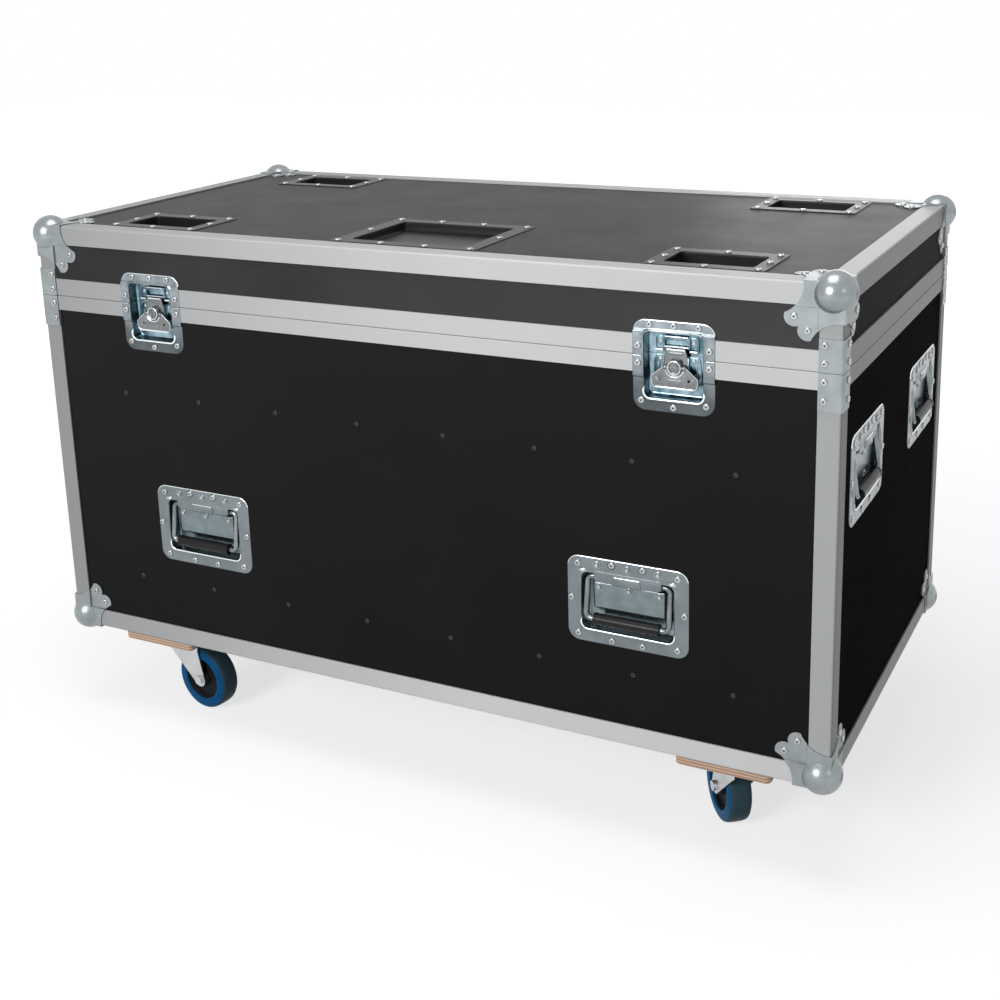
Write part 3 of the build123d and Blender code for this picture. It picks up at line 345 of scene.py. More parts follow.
# A lit copy of the laminate for the top panel, painted lighter
LAMINATE_TOP_LIT = laminate("laminate_top_lit", (0.022, 0.022, 0.0222), (0.022, 0.022, 0.0222), 0.06)
ALUMINIUM = aluminium()
ZINC = zinc("zinc_bright", (0.22, 0.25, 0.265), (0.17, 0.195, 0.205), (0.16, 0.25),
            recess=((0.21, 0.26, 0.275), (0.145, 0.19, 0.205)))
# A lit copy of the zinc for the latch dishes, painted lighter, with painted shade on their lower
# part
ZINC_LATCH = zinc("zinc_latch", (0.33, 0.38, 0.405), (0.16, 0.185, 0.20), (0.15, 0.24),
                  recess=((0.31, 0.43, 0.48), (0.075, 0.14, 0.18)), shaded=(0.622, 0.668))
ZINC_WING = zinc("zinc_wing", (0.22, 0.235, 0.24), (0.17, 0.18, 0.185), (0.18, 0.27))
ZINC_WIRE = zinc("zinc_wire", (0.26, 0.285, 0.295), (0.13, 0.145, 0.15), (0.10, 0.18), 0.0001)
# Painted highlight: a near-white copy of the zinc for edges that catch the light
ZINC_HIGHLIGHT = zinc("zinc_highlight", (0.90, 0.93, 0.94), (0.80, 0.84, 0.86), (0.14, 0.22), 0.00004)
# The corner zinc, with painted shade on faces that look along X
ZINC_CORNER = zinc("zinc_corner", (0.33, 0.36, 0.37), (0.26, 0.285, 0.295), (0.22, 0.32), 0.00012,
                   end_shade=0.7)
ZINC_FORK = zinc("zinc_fork", (0.62, 0.62, 0.63), (0.52, 0.53, 0.54), (0.24, 0.34))
RIVET = zinc("rivet_bright", (0.46, 0.475, 0.485), (0.38, 0.39, 0.40), (0.12, 0.20), 0.00004)
DARK = dark_steel()
DISH_BLACK = powder_black("dish_black", (0.012, 0.012, 0.0125), 0.34, 0.14)
SCREW_BLACK = powder_black("screw_black", (0.010, 0.010, 0.010), 0.42)
PLYWOOD = plywood()
BIRCH = birch()
GRIP = rubber("grip_rubber", (0.003, 0.003, 0.0032), 0.29, (0.008, 0.008, 0.008), 0.25)
HUB = rubber("hub_plastic", (0.010, 0.010, 0.011), 0.44)
TYRE_SIDE = rubber("tyre_blue", (0.001, 0.084, 0.225), 0.42, (0.005, 0.08, 0.18))
TYRE_TREAD = rubber("tyre_tread", (0.040, 0.076, 0.098), 0.5, (0.05, 0.07, 0.08))


# Matrices that turn a piece's own millimetres into metres in their place: across, up and out of one
# side of the case, or flat on the lid
def face_matrix(side, along, height):
    normal = NORMALS[side]
    reach = HALF_Y if side in ("front", "rear") else HALF_X
    sideways = UP.cross(normal)
    matrix = Matrix((sideways, UP, normal)).transposed().to_4x4()
    matrix.translation = (normal * reach + sideways * along + UP * height) * MM
    return matrix @ Matrix.Scale(MM, 4)


def lid_matrix(x, y):
    return Matrix.Translation((x * MM, y * MM, PANEL_TOP * MM)) @ Matrix.Scale(MM, 4)


# One mesh piece, built from lofts, lathes, tubes and plates. Slot 1 is a brighter copy of the metal
# on pressed pieces, a painted highlight on their edges.
class Shape:
    def __init__(self):
        self.mesh = bmesh.new()

    def put(self, points, faces, matrix, slot=0):
        made = [self.mesh.verts.new(matrix @ Vector(p)) for p in points]
        for face in faces:
            try:
                new = self.mesh.faces.new([made[i] for i in face])
            except ValueError:
                continue
            new.smooth = True
            new.material_index = slot
        return made

    # Skin over rings, with end caps or closed to a loop; the faces between the two rings that
    # bright names get slot 1, the painted highlight
    def loft(self, rings, matrix, slot=0, closed=False, bright=None):
        count = len(rings[0])
        points = [p for ring in rings for p in ring]
        faces = []
        last = len(rings) if closed else len(rings) - 1
        for r in range(last):
            s = (r + 1) % len(rings)
            for i in range(count):
                j = (i + 1) % count
                faces.append((r * count + i, r * count + j, s * count + j, s * count + i))
        if not closed:
            faces.append(tuple(range(count))[::-1])
            faces.append(tuple(range((len(rings) - 1) * count, len(rings) * count)))
        made = self.put(points, faces, matrix, slot)
        if bright:
            low, high = bright
            band = set(made[low * count:(high + 1) * count])
            for face in {f for v in band for f in v.link_faces}:
                if all(v in band for v in face.verts):
                    face.material_index = 1
        return made

    def lathe(self, profile, matrix, steps=32, slot=0, closed=False):
        rings = [[(x, y, z) for x, y in circle(0, 0, r, steps)] for r, z in profile]
        self.loft(rings, matrix, slot, closed)

    def tube(self, path, radius, matrix, steps=12, slot=0):
        path = [Vector(p) for p in path]
        rings = []
        side = None
        for i, p in enumerate(path):
            way = (path[min(i + 1, len(path) - 1)] - path[max(i - 1, 0)]).normalized()
            if side is None:
                side = way.orthogonal().normalized()
            side = (side - way * side.dot(way)).normalized()
            other = way.cross(side)
            turns = [2 * pi * k / steps for k in range(steps)]
            rings.append([p + radius * (cos(a) * side + sin(a) * other) for a in turns])
        self.loft(rings, matrix, slot)

    def prism(self, outline, low, high, matrix, round_by=0.0):
        rings = [[(x, y, low) for x, y in outline], [(x, y, high - round_by) for x, y in outline]]
        if round_by:
            rings.append([(x, y, high - 0.3 * round_by) for x, y in inset(outline, 0.3 * round_by)])
            rings.append([(x, y, high) for x, y in inset(outline, round_by)])
        self.loft(rings, matrix)

    # Prism over corners given as x, y and radius
    def plate(self, corners, low, high, matrix, round_by=0.0, steps=6):
        self.prism(rounded_outline(corners, steps), low, high, matrix, round_by)

    def finish(self, name, body, materials, slot, replaced=(), angle=35):
        bmesh.ops.recalc_face_normals(self.mesh, faces=self.mesh.faces)
        data = bpy.data.meshes.new(name)
        self.mesh.to_mesh(data)
        self.mesh.free()
        for material in materials:
            data.materials.append(material)
        data.set_sharp_from_angle(angle=radians(angle))
        made = bpy.data.objects.new(name, data)
        bpy.context.scene.collection.objects.link(made)
        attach(made, body)
        if replaced:
            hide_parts(*replaced)


# Outlines and arcs
def circle(x, y, radius, steps):
    turns = [2 * pi * k / steps for k in range(steps)]
    return [(x + radius * cos(a), y + radius * sin(a)) for a in turns]


def arc(radius, start, sweep, steps):
    turns = [radians(start + sweep * k / steps) for k in range(steps + 1)]
    return [(radius * cos(a), radius * sin(a)) for a in turns]


# A lathe profile that is the same on both sides of its middle
def both_ends(half, middle=()):
    return [*half, *middle, *((r, -z) for r, z in half[::-1])]


# Corners on the right side of a piece, or on the left for a sign of -1
def mirrored(corners, sign):
    return [(sign * x, y, r) for x, y, r in corners][::sign]


# Rounded rectangle as a ring, with points along its straight sides so that it can be bent
def rectangle(half_x, half_y, radius, z, middle, side_parts, arc_parts=8):
    points = []
    corners = ((1, 1, 0), (-1, 1, 90), (-1, -1, 180), (1, -1, 270))
    for index, (sx, sy, start) in enumerate(corners):
        cx, cy = sx * (half_x - radius), sy * (half_y - radius)
        for k in range(arc_parts + 1):
            a = radians(start + 90 * k / arc_parts)
            points.append((middle[0] + cx + radius * cos(a), middle[1] + cy + radius * sin(a), z))
        nx, ny, _ = corners[(index + 1) % 4]
        ex, ey = nx * (half_x - radius), ny * (half_y - radius)
        a = radians(start + 90)
        sx0, sy0 = cx + radius * cos(a), cy + radius * sin(a)
        ex0, ey0 = ex + radius * cos(a), ey + radius * sin(a)
        for k in range(1, side_parts):
            t = k / side_parts
            points.append((middle[0] + sx0 + (ex0 - sx0) * t, middle[1] + sy0 + (ey0 - sy0) * t, z))
    return points


def inset(outline, distance):
    count = len(outline)
    area = sum(outline[i - 1][0] * outline[i][1] - outline[i][0] * outline[i - 1][1]
               for i in range(count))
    sign = 1 if area > 0 else -1
    moved = []
    for i in range(count):
        before, here, after = (Vector(outline[(i + k) % count]) for k in (-1, 0, 1))
        one, two = (here - before).normalized(), (after - here).normalized()
        first, second = Vector((-one.y, one.x)) * sign, Vector((-two.y, two.x)) * sign
        both = (first + second).normalized()
        moved.append(tuple(here + both * distance / max(0.35, both.dot(first))))
    return moved


def rounded_outline(corners, steps=6):
    points = []
    count = len(corners)
    for i, (x, y, radius) in enumerate(corners):
        here = Vector((x, y))
        before, after = Vector(corners[i - 1][:2]), Vector(corners[(i + 1) % count][:2])
        one, two = (before - here).normalized(), (after - here).normalized()
        half = one.angle(two) / 2
        reach = radius / max(1e-6, abs(sin(half) / cos(half)))
        start, end = here + one * reach, here + two * reach
        middle = here + (one + two).normalized() * (radius / sin(half))
        a, b = start - middle, end - middle
        for k in range(steps + 1):
            turn = a.lerp(b, k / steps).normalized() * radius
            points.append(tuple(middle + turn))
    return points


def inside(point, outline):
    hit = False
    for i in range(len(outline)):
        (x1, y1), (x2, y2) = outline[i - 1], outline[i]
        if (y1 > point[1]) != (y2 > point[1]):
            hit ^= point[0] < (x2 - x1) * (point[1] - y1) / (y2 - y1) + x1
    return hit


# Flat plate with holes, its upper rims rounded
SHARP_RIM, SAME_LEVEL = 1.2, 1e-4


def holed_plate(shape, outer, holes, low, high, matrix, round_by):
    mesh = bmesh.new()
    edges = []
    for points in [outer, *holes]:
        made = [mesh.verts.new((x, y, 0)) for x, y in points]
        edges += [mesh.edges.new((made[i], made[(i + 1) % len(made)])) for i in range(len(made))]
    bmesh.ops.triangle_fill(mesh, edges=edges, use_beauty=True)
    for face in list(mesh.faces):
        if any(inside(face.calc_center_median(), hole) for hole in holes):
            mesh.faces.remove(face)
    bmesh.ops.recalc_face_normals(mesh, faces=mesh.faces)
    made = bmesh.ops.extrude_face_region(mesh, geom=mesh.faces[:], use_keep_orig=True)
    top = {v for v in made["geom"] if isinstance(v, bmesh.types.BMVert)}
    for vert in mesh.verts:
        vert.co.z = high if vert in top else low
    bmesh.ops.recalc_face_normals(mesh, faces=mesh.faces)
    rims = [e for e in mesh.edges if len(e.link_faces) == 2 and e.calc_face_angle(0) > SHARP_RIM
            and all(abs(v.co.z - high) < SAME_LEVEL for v in e.verts)]
    bmesh.ops.bevel(mesh, geom=rims, offset=round_by, segments=2, profile=0.5, affect="EDGES")
    verts = {v: i for i, v in enumerate(mesh.verts)}
    faces = [tuple(verts[v] for v in f.verts) for f in mesh.faces]
    shape.put([tuple(v.co) for v in mesh.verts], faces, matrix)
    mesh.free()


# How far below the top of a dish's flange its rim keeps the painted highlight
HIGHLIGHT_RIM = 12.0


# Pressed dish: one closed sheet from its flange over a rounded lip down to the floor. The lip stops
# at the height lip_until.
def pressed_dish(shape, matrix, flange, opening, depth, base=0.0, sheet=1.2, lip=0.0, lip_width=5.0,
                 fine=14, lip_until=inf):
    flange_x, flange_y, flange_r, flange_m = flange
    open_x, open_y, open_r, open_m = opening
    top = base + sheet

    def rim(shrink, z):
        radius = max(0.5, flange_r - shrink)
        return rectangle(flange_x - shrink, flange_y - shrink, radius, z, flange_m, fine)

    def wide(grow, z):
        radius = max(0.8, open_r + grow)
        ring = rectangle(open_x + grow, open_y + grow, radius, z, open_m, fine)
        return [(x, y, min(h, top) if y > lip_until else h) for x, y, h in ring]

    upper = [rim(*ring) for ring in (
        (0, base + 0.5 * sheet), (0.2, top - 0.3 * sheet), (0.9, top), (1.8, top), (2.6, top))]
    upper += [wide(*ring) for ring in (
        (lip_width + 0.8, top), (lip_width, top), (0.7 * lip_width, top + 0.3 * lip),
        (0.45 * lip_width, top + 0.9 * lip), (0.25 * lip_width, top + lip),
        (0.08 * lip_width, top + 0.6 * lip - 0.25), (-0.15, top - 1.2), (-0.3, top - 3.0),
        (-0.9, 2.6 - depth), (-1.4, 1.1 - depth), (-2.4, 0.3 - depth), (-4.2, -depth))]
    lower = [rim(0, base)]
    lower += [wide(*ring) for ring in (
        (lip_width, base), (1.3, base - 0.3), (1.0, base - 2.5), (0.6, 1.0 - depth),
        (-1.2, -depth - sheet), (-4.2, -depth - sheet))]
    edge = len(lower)
    # The flange's rounded rim goes in slot 1 as painted highlight, only near its top
    made = shape.loft(lower[::-1] + upper, matrix, bright=(edge - 1, edge + 2))
    back = matrix.inverted()
    for face in {f for v in made for f in v.link_faces if f.material_index == 1}:
        if (back @ face.calc_center_median()).y < flange_m[1] + flange_y - HIGHLIGHT_RIM:
            face.material_index = 0


# The lip round the lower half of an opening, as a tube that sinks into the sheet at its ends, in
# slot 1 as a painted highlight
def rolled_lip(shape, matrix, opening, level, radius, rise):
    half_x, half_y, corner, middle = opening
    centre_x, centre_y = half_x - corner, middle[1] - half_y + corner
    reach = corner + 0.8 * radius
    left = [(-centre_x + x, centre_y + y, level) for x, y in arc(reach, 180, 90, 8)]
    left.insert(0, (-centre_x - reach, centre_y + rise, level - radius))
    right = [(-x, y, z) for x, y, z in left[::-1]]
    shape.tube(left + right, radius, matrix, 14, slot=1)


def dress_lid_dishes():
    shape = Shape()
    for x in (-STACKING_X, STACKING_X):
        for y in (-STACKING_Y, STACKING_Y):
            pressed_dish(shape, lid_matrix(x, y), *STACKING_DISH, lip_width=3.0)
    pressed_dish(shape, lid_matrix(0, LABEL_Y), *LABEL_DISH, lip_width=3.0)
    shape.finish("lid_dishes_pressed", "lid", [DISH_BLACK, DISH_BLACK], "dish_black",
                 ["lid_dishes"])


# Profiles round the handle dishes' features, as radius and height
RIVET_RING = [(3.3, -0.2), (5.2, -0.2), (5.2, 0.15), (4.7, 0.45), (4.2, 0.5), (3.3, 0.1)]
HOOD = [(5.0, -0.2), (4.9, 0.9), (4.4, 2.0), (3.2, 2.9), (1.6, 3.4), (0.2, 3.5)]
DIMPLE = [(4.0, -1.4), (4.6, -0.75), (5.1, -0.2), (5.6, -0.25), (6.1, -0.7), (6.3, -1.4)]
# Heights and levels of the ringed rivets, on the handle's flange and on its hinge plate
RINGED_RIVETS = ((48.6, -0.1), (17.0, -6.3))
# The grip, from one end to its middle
GRIP_END = [(4.1, -45), (7.6, -45), (8.15, -44.4), (8.2, -43), (8.2, -41.4), (7.7, -41.0),
            (7.6, -40), (7.75, -34), (8.0, -20)]
GRIP_MIDDLE = [(8.05, 0)]


# Handle dishes with a raised lip, the cover over the hinge with its bump, hoods over the bail's
# ends, rings round some rivets and dimples round the rest of the upper ones
def dress_handles():
    shape = Shape()
    for side, along, height, _ in HANDLES:
        place = face_matrix(side, along, height)
        pressed_dish(shape, place, *HANDLE_DISH, base=-2.0, lip=1.3, lip_width=6.0, lip_until=27)
        shape.plate([(-46, 29, 3), (-41, 26, 3), (-22, 26, 2), (-20, 24.6, 2), (20, 24.6, 2),
                     (22, 26, 2), (41, 26, 3), (46, 29, 3), (46, 41, 2), (-46, 41, 2)],
                    -2.0, -0.6, place, 0.5)
        rolled_lip(shape, place, HANDLE_DISH[1], -0.6, 1.3, 5)
        # A line of painted highlight along the top of the hinge cover's bump
        shape.tube([(-17.0, 36.4, 0.1), (17.0, 36.4, 0.1)], 0.8, place, 8, slot=1)
        for x in (-41.5, 0, 41.5):
            for y, level in RINGED_RIVETS:
                shape.lathe(RIVET_RING, place @ Matrix.Translation((x, y, level)), 28)
        # The hoods take the brighter rivet metal, slot 2, as painted highlight
        for x in (-61, 61):
            oval = Matrix.Translation((x, 39.6, -1.6)) @ Matrix.Diagonal((1.3, 0.7, 1, 1))
            shape.lathe(HOOD, place @ oval, 28, slot=2)
        shape.plate([(-19, 25.4, 2.5), (19, 25.4, 2.5), (17.5, 37, 4), (-17.5, 37, 4)],
                    -1.0, 0.9, place, 1.1)
        for x in (-21, 21):
            shape.lathe(DIMPLE, place @ Matrix.Translation((x, 52, 0)), 28)
    shape.finish("handle_dishes_pressed", "base", [ZINC, ZINC_HIGHLIGHT, RIVET], "zinc_steel",
                 ["handle_dishes"], angle=50)

    lying = Matrix.Translation((0, -24.5, -0.1)) @ Matrix.Rotation(pi / 2, 4, "Y")
    for side, along, height, number in HANDLES:
        name = side + "_" + str(number)
        grip = Shape()
        place = face_matrix(side, along, height) @ lying
        grip.lathe(both_ends(GRIP_END, GRIP_MIDDLE), place, closed=True)
        grip.finish("handle_grip_moulded_" + name, "handle_" + name, [GRIP], "grip_rubber",
                    ["handle_grip_" + name])


# The latch dishes step down off the seam rails: above and below these heights, over a short run.
# Only what lies this near and this little deep is flange.
JOGGLE_ABOVE, JOGGLE_BELOW, JOGGLE_RUN, JOGGLE_DROP = 29.6, -26.5, 2.6, 2.0
FLANGE_SIDE, FLANGE_BACK = 60, -3.0
# Half the gap in which the dishes are split at the seam
SEAM_GAP = 0.3


def on_flange(spot):
    return spot.z > FLANGE_BACK and abs(spot.x) < FLANGE_SIDE


def bend_flange(mesh, place):
    back = place.inverted()
    for start, way in ((JOGGLE_ABOVE, 1), (JOGGLE_BELOW, -1)):
        for share in (-0.3, 0, 0.2, 0.4, 0.6, 0.8, 1, 1.3):
            level = place @ Vector((0, start + way * share * JOGGLE_RUN, 0))
            near = {v for v in mesh.verts if on_flange(back @ v.co)}
            faces = [f for f in mesh.faces if all(v in near for v in f.verts)]
            edges = {e for f in faces for e in f.edges}
            bmesh.ops.bisect_plane(mesh, geom=[*near, *edges, *faces], plane_co=level, plane_no=UP)
    for vert in mesh.verts:
        spot = back @ vert.co
        if on_flange(spot):
            above, below = spot.y - JOGGLE_ABOVE, JOGGLE_BELOW - spot.y
            step = min(1, max(0, above / JOGGLE_RUN, below / JOGGLE_RUN))
            spot.z -= JOGGLE_DROP * step * step * (3 - 2 * step)
            vert.co = place @ spot


def split_at_seam(source, keep_upper):
    half = Shape()
    half.mesh.free()
    half.mesh = mesh = source.mesh.copy()
    plane = (SEAM + (SEAM_GAP if keep_upper else -SEAM_GAP)) * MM
    result = bmesh.ops.bisect_plane(
        mesh, geom=mesh.verts[:] + mesh.edges[:] + mesh.faces[:], plane_co=(0, 0, plane),
        plane_no=UP, clear_outer=not keep_upper, clear_inner=keep_upper)
    edges = [e for e in result["geom_cut"] if isinstance(e, bmesh.types.BMEdge)]
    bmesh.ops.triangle_fill(mesh, edges=edges, use_beauty=True)
    return half


# The keeper in the lid's half of a latch dish: feet, legs, curled ears and a window's frame
def add_keeper(upper, place):
    for s in (-1, 1):
        foot = [(16, 1.4, 2), (27.5, 1.4, 3), (27.5, 23.3, 6), (16, 23.3, 2)]
        upper.plate(mirrored(foot, s), -15.0, -13.7, place, 0.4)
        leg = [(15, 8.2, 0.4), (16.6, 8.2, 0.4), (16.6, 23.3, 0.4), (15, 23.3, 0.4)]
        upper.plate(mirrored(leg, s), -15.0, -11.3, place, 0.3, 2)
        # The curled ears, in slot 1 as painted highlight
        upper.tube([(s * 17.2, 5.6, -11.6), (s * 26.2, 5.6, -11.6)], 1.7, place, 14, slot=1)
    # Lines along the window's frame, painted highlight in slot 1
    for y, radius in ((22.6, 0.9), (10.2, 0.8)):
        upper.tube([(-14.6, y, -10.9), (14.6, y, -10.9)], radius, place, 10, slot=1)
    for bar in ([(-16, 18.0, 1), (16, 18.0, 1), (15, 23.4, 3), (-15, 23.4, 3)],
                [(-16, 8.0, 1), (16, 8.0, 1), (16, 11.2, 0.8), (-16, 11.2, 0.8)]):
        upper.plate(bar, -12.3, -11.0, place, 0.4)


# The guide in the base's half of a latch dish: its plate, two walls and two beads, and the lip and
# the lines at the seam, both painted highlight in slot 1
def add_guide(lower, place):
    rolled_lip(lower, place, LATCH_DISH[1], -0.3, 1.5, 6)
    lower.plate([(-30, -33.4, 3), (30, -33.4, 3), (30, -8, 4), (27, -1.4, 3), (-27, -1.4, 3),
                 (-30, -8, 4)], -15.0, -13.7, place, 0.4)
    for s in (-1, 1):
        # Lines of painted highlight at the seam, in slot 1
        lower.tube([(s * 38.2, -1.0, 1.0), (s * 51.6, -1.0, 0.9)], 0.5, place, 8, slot=1)
        wall = [(14.9, -33.2, 0.4), (16.4, -33.2, 0.4), (16.4, -1.4, 0.4), (14.9, -1.4, 0.4)]
        lower.plate(mirrored(wall, s), -15.0, -8.0, place, 0.5, 2)
        bead = [(22.0, -29.0, 1.4), (26.0, -29.0, 1.4), (26.0, -10.5, 1.4), (22.0, -10.5, 1.4)]
        lower.plate(mirrored(bead, s), -13.8, -12.9, place, 0.6)


def dress_latches():
    places = {"left": face_matrix("front", -LATCH_X, SEAM),
              "right": face_matrix("front", LATCH_X, SEAM)}
    whole = Shape()
    for place in places.values():
        pressed_dish(whole, place, *LATCH_DISH, lip=1.2, lip_width=4.5, fine=40)
        bend_flange(whole.mesh, place)
    upper, lower = split_at_seam(whole, True), split_at_seam(whole, False)
    whole.mesh.free()
    for place in places.values():
        add_keeper(upper, place)
        add_guide(lower, place)
    for shape, body in ((upper, "lid"), (lower, "base")):
        shape.finish(body + "_latch_dishes_pressed", body, [ZINC_LATCH, ZINC_HIGHLIGHT], "zinc_steel",
                     [body + "_latch_dishes"], angle=50)
    for name, place in places.items():
        for kind, work, draw, spot in (("link", "pressed", draw_link, (0, 0, 0)),
                                       ("boss", "turned", draw_boss, (0, BOSS_Y, 0)),
                                       ("wing", "pressed", draw_wing, (0, BOSS_Y, WING_Z))):
            shape = Shape()
            draw(shape, place @ Matrix.Translation(spot))
            shape.finish("latch_" + kind + "_" + work + "_" + name, "latch_" + name + "_" + kind,
                         [ZINC_WING, ZINC_HIGHLIGHT], "zinc_steel", ["latch_" + kind + "_" + name],
                         angle=40)


def draw_link(shape, place):
    outer = [(-12.5, 8.0, 3), (-14.5, 0.0, 2), (-14.5, -33.5, 2), (14.5, -33.5, 2), (14.5, 0.0, 2),
             (12.5, 8.0, 3)]
    slot = [(-5.5, -27.0, 5.4), (5.5, -27.0, 5.4), (5.5, -8.0, 5.4), (-5.5, -8.0, 5.4)]
    holed_plate(shape, rounded_outline(outer), [rounded_outline(slot)], -9.5, -8.0, place, 0.35)
    # The link's rolled top edge, in slot 1 as painted highlight
    shape.tube([(-11.5, 7.3, -8.6), (11.5, 7.3, -8.6)], 1.2, place, 12, slot=1)
    shape.plate([(-9, 0.2, 1.5), (9, 0.2, 1.5), (9, 4.2, 1.5), (-9, 4.2, 1.5)],
                -8.2, -7.4, place, 0.5)


def draw_boss(shape, place):
    shape.lathe([(5.0, -13.5), (5.0, -7.6), (8.7, -7.6), (9.0, -7.3), (9.0, -6.4), (8.7, -6.0),
                 (8.5, -5.9), (8.5, -2.3), (8.1, -1.6), (7.4, -1.4), (6.3, -1.4), (5.9, -1.7),
                 (5.9, -2.2), (5.6, -2.5), (0.4, -2.3)], place, 40)
    shape.tube([(-14.5, 0, -3.7), (14.5, 0, -3.7)], 1.5, place, 16)
    # A painted highlight round the boss's top edge, in slot 1
    shape.tube([(x, y, -1.75) for x, y in arc(8.3, 0, 360, 40)], 0.55, place, 8, slot=1)
    for s in (-1, 1):
        half = [(0.9, -5.2, 0.5), (5.0, -2.6, 1.2), (5.0, 2.6, 1.2), (0.9, 5.2, 0.5)]
        shape.plate(mirrored(half, s), -2.6, -1.5, place, 0.35, 4)


def draw_wing(shape, place):
    rim = rounded_outline([(-14.0, 1.4, 0.6), (-30.4, -12.6, 3.5), (-28.6, -26.6, 6.5),
                           (28.6, -26.6, 6.5), (30.4, -12.6, 3.5), (14.0, 1.4, 0.6)])
    notch = [(9.3, 1.4), *arc(9.3, 8, -196, 24), (-9.3, 1.4)]
    holes = [circle(x, -15.5, 1.9, 16) for x in (-18.5, 18.5)]
    holed_plate(shape, rim + notch, holes, -0.7, 0.7, place, 0.3)
    for s in (-1, 1):
        knuckle = ((9.5, 2.2), (10.0, 2.5), (13.5, 2.5), (14.0, 2.2), (14.0, 1.56), (9.5, 1.56))
        rings = [[(s * x, y, z) for y, z in circle(0, 0, radius, 20)] for x, radius in knuckle]
        shape.loft(rings, place, closed=True)
        pad = [(13.5, -22.4, 1), (25, -21.4, 2), (26, -13.5, 2), (22.2, -13, 1.5)]
        shape.plate(mirrored(pad, s), 0.5, 1.15, place, 0.4)
    # The wing's rolled bottom edge, its outline and the arc round the notch, in slot 1 as painted
    # highlight
    shape.tube([(-24.0, -24.6, 0), (-22.6, -25.4, 0), (22.6, -25.4, 0), (24.0, -24.6, 0)],
               1.15, place, 14, slot=1)
    shape.tube([(x, y, 0.55) for x, y in inset(rim, 0.45)], 0.42, place, 8, slot=1)
    shape.tube([(x, y, 0.7) for x, y in arc(12.0, 200, 140, 24)], 0.65, place, 8, slot=1)
    shape.plate([(-10, -22.4, 1.2), (10, -22.4, 1.2), (9, -15.2, 1.2), (-9, -15.2, 1.2)],
                0.5, 1.1, place, 0.4)


# Where a ball corner's ears bend off the aluminium: distance of the bend from the case's outer
# faces, the ears' end, and how deep the line at the step's foot lies; that line is darker zinc, a
# painted shade along the step
STEP_BEND, STEP_END, STEP_SUNK = 29.7, 56.0, 0.2


def dress_corner_step_shade():
    for body, level, up in (("lid", LID_TOP, 1), ("base", BOX_BOTTOM, -1)):
        shape = Shape()
        for signs in [(sx, sy, up) for sx in (-1, 1) for sy in (-1, 1)]:
            corner = Vector((signs[0] * HALF_X, signs[1] * HALF_Y, level))
            for normal in range(3):
                first, second = [axis for axis in range(3) if axis != normal]
                path = []
                for p, q in ((STEP_END, STEP_BEND), (STEP_BEND + 1, STEP_BEND),
                             (STEP_BEND, STEP_BEND + 1), (STEP_BEND, STEP_END)):
                    point = corner.copy()
                    point[normal] -= signs[normal] * STEP_SUNK
                    point[first] -= signs[first] * p
                    point[second] -= signs[second] * q
                    path.append(point)
                shape.tube(path, 0.6, Matrix.Scale(MM, 4), 8)
        shape.finish(body + "_corner_steps", body, [ZINC_WING], "zinc_steel", angle=80)


# The separate solids of a CAD node, each as a list of its points
def islands(obj):
    parent = list(range(len(obj.data.vertices)))

    def root(i):
        while parent[i] != i:
            parent[i] = parent[parent[i]]
            i = parent[i]
        return i

    places = {}
    for vert in obj.data.vertices:
        key = tuple(round(c * 1e6) for c in vert.co)
        if key in places:
            parent[root(vert.index)] = root(places[key])
        else:
            places[key] = vert.index
    for edge in obj.data.edges:
        a, b = root(edge.vertices[0]), root(edge.vertices[1])
        if a != b:
            parent[a] = b
    groups = {}
    for vert in obj.data.vertices:
        groups.setdefault(root(vert.index), []).append(vert.co)
    return groups.values()


# Rivet heads, known by their height and their least width, get a dark mandrel in the middle, whose
# foot lies below the head's top; the mandrel is real, its dark tone is painted shade in the eye
HEAD_HEIGHT, HEIGHT_SLACK, HEAD_WIDTH, MANDREL_SUNK = 1.9, 0.3, 8, 1.25


def dress_rivets():
    for body, up in (("base", -1), ("lid", 1)):
        shape = Shape()
        for points in islands(frame["nodes"][body + "_rivets"]):
            low = Vector([min(p[i] for p in points) for i in range(3)]) / MM
            high = Vector([max(p[i] for p in points) for i in range(3)]) / MM
            size, middle = high - low, (high + low) / 2
            thin = min(range(3), key=lambda i: size[i])
            if abs(size[thin] - HEAD_HEIGHT) > HEIGHT_SLACK or max(size) < HEAD_WIDTH:
                continue
            way = Vector((0, 0, 0))
            way[thin] = up if thin == 2 else 1 if middle[thin] > 0 else -1
            turn = UP.rotation_difference(way).to_matrix().to_4x4()
            foot = middle + way * (size[thin] / 2 - MANDREL_SUNK)
            place = Matrix.Scale(MM, 4) @ Matrix.Translation(foot) @ turn
            shape.lathe([(1.15, -0.1), (1.15, 0.35), (0.9, 0.6), (0.3, 0.72)], place, 12)
        shape.finish(body + "_rivet_mandrels", body, [DARK], "rivet_steel", angle=60)


# Caster wheels: half profiles as radius and distance from the wheel's middle plane, and the radius
# at which the blue side ends
TYRE_HALF = [(37.05, 12.4), (33.6, 12.4), (32.9, 14.2), (33.6, 15.6), (35.0, 16.0), (40.5, 16.0),
             (40.9, 15.6), (41.5, 15.6), (41.9, 16.0), (45.6, 15.6), (47.8, 14.4), (49.0, 12.6),
             (49.7, 9.0)]
TREAD = [(49.85, 7.0), (50.0, 3.5), (50.0, 0), (50.0, -3.5), (49.85, -7.0)]
HUB_HALF = [(36.95, 12.2), (33.0, 12.2), (32.2, 12.8), (31.4, 12.2), (29.6, 9.0), (16.5, 8.2),
            (13.6, 9.4), (12.2, 15.4), (11.2, 16.3), (7.2, 16.3), (6.6, 15.6), (4.05, 15.6)]
TREAD_FROM = 48.2


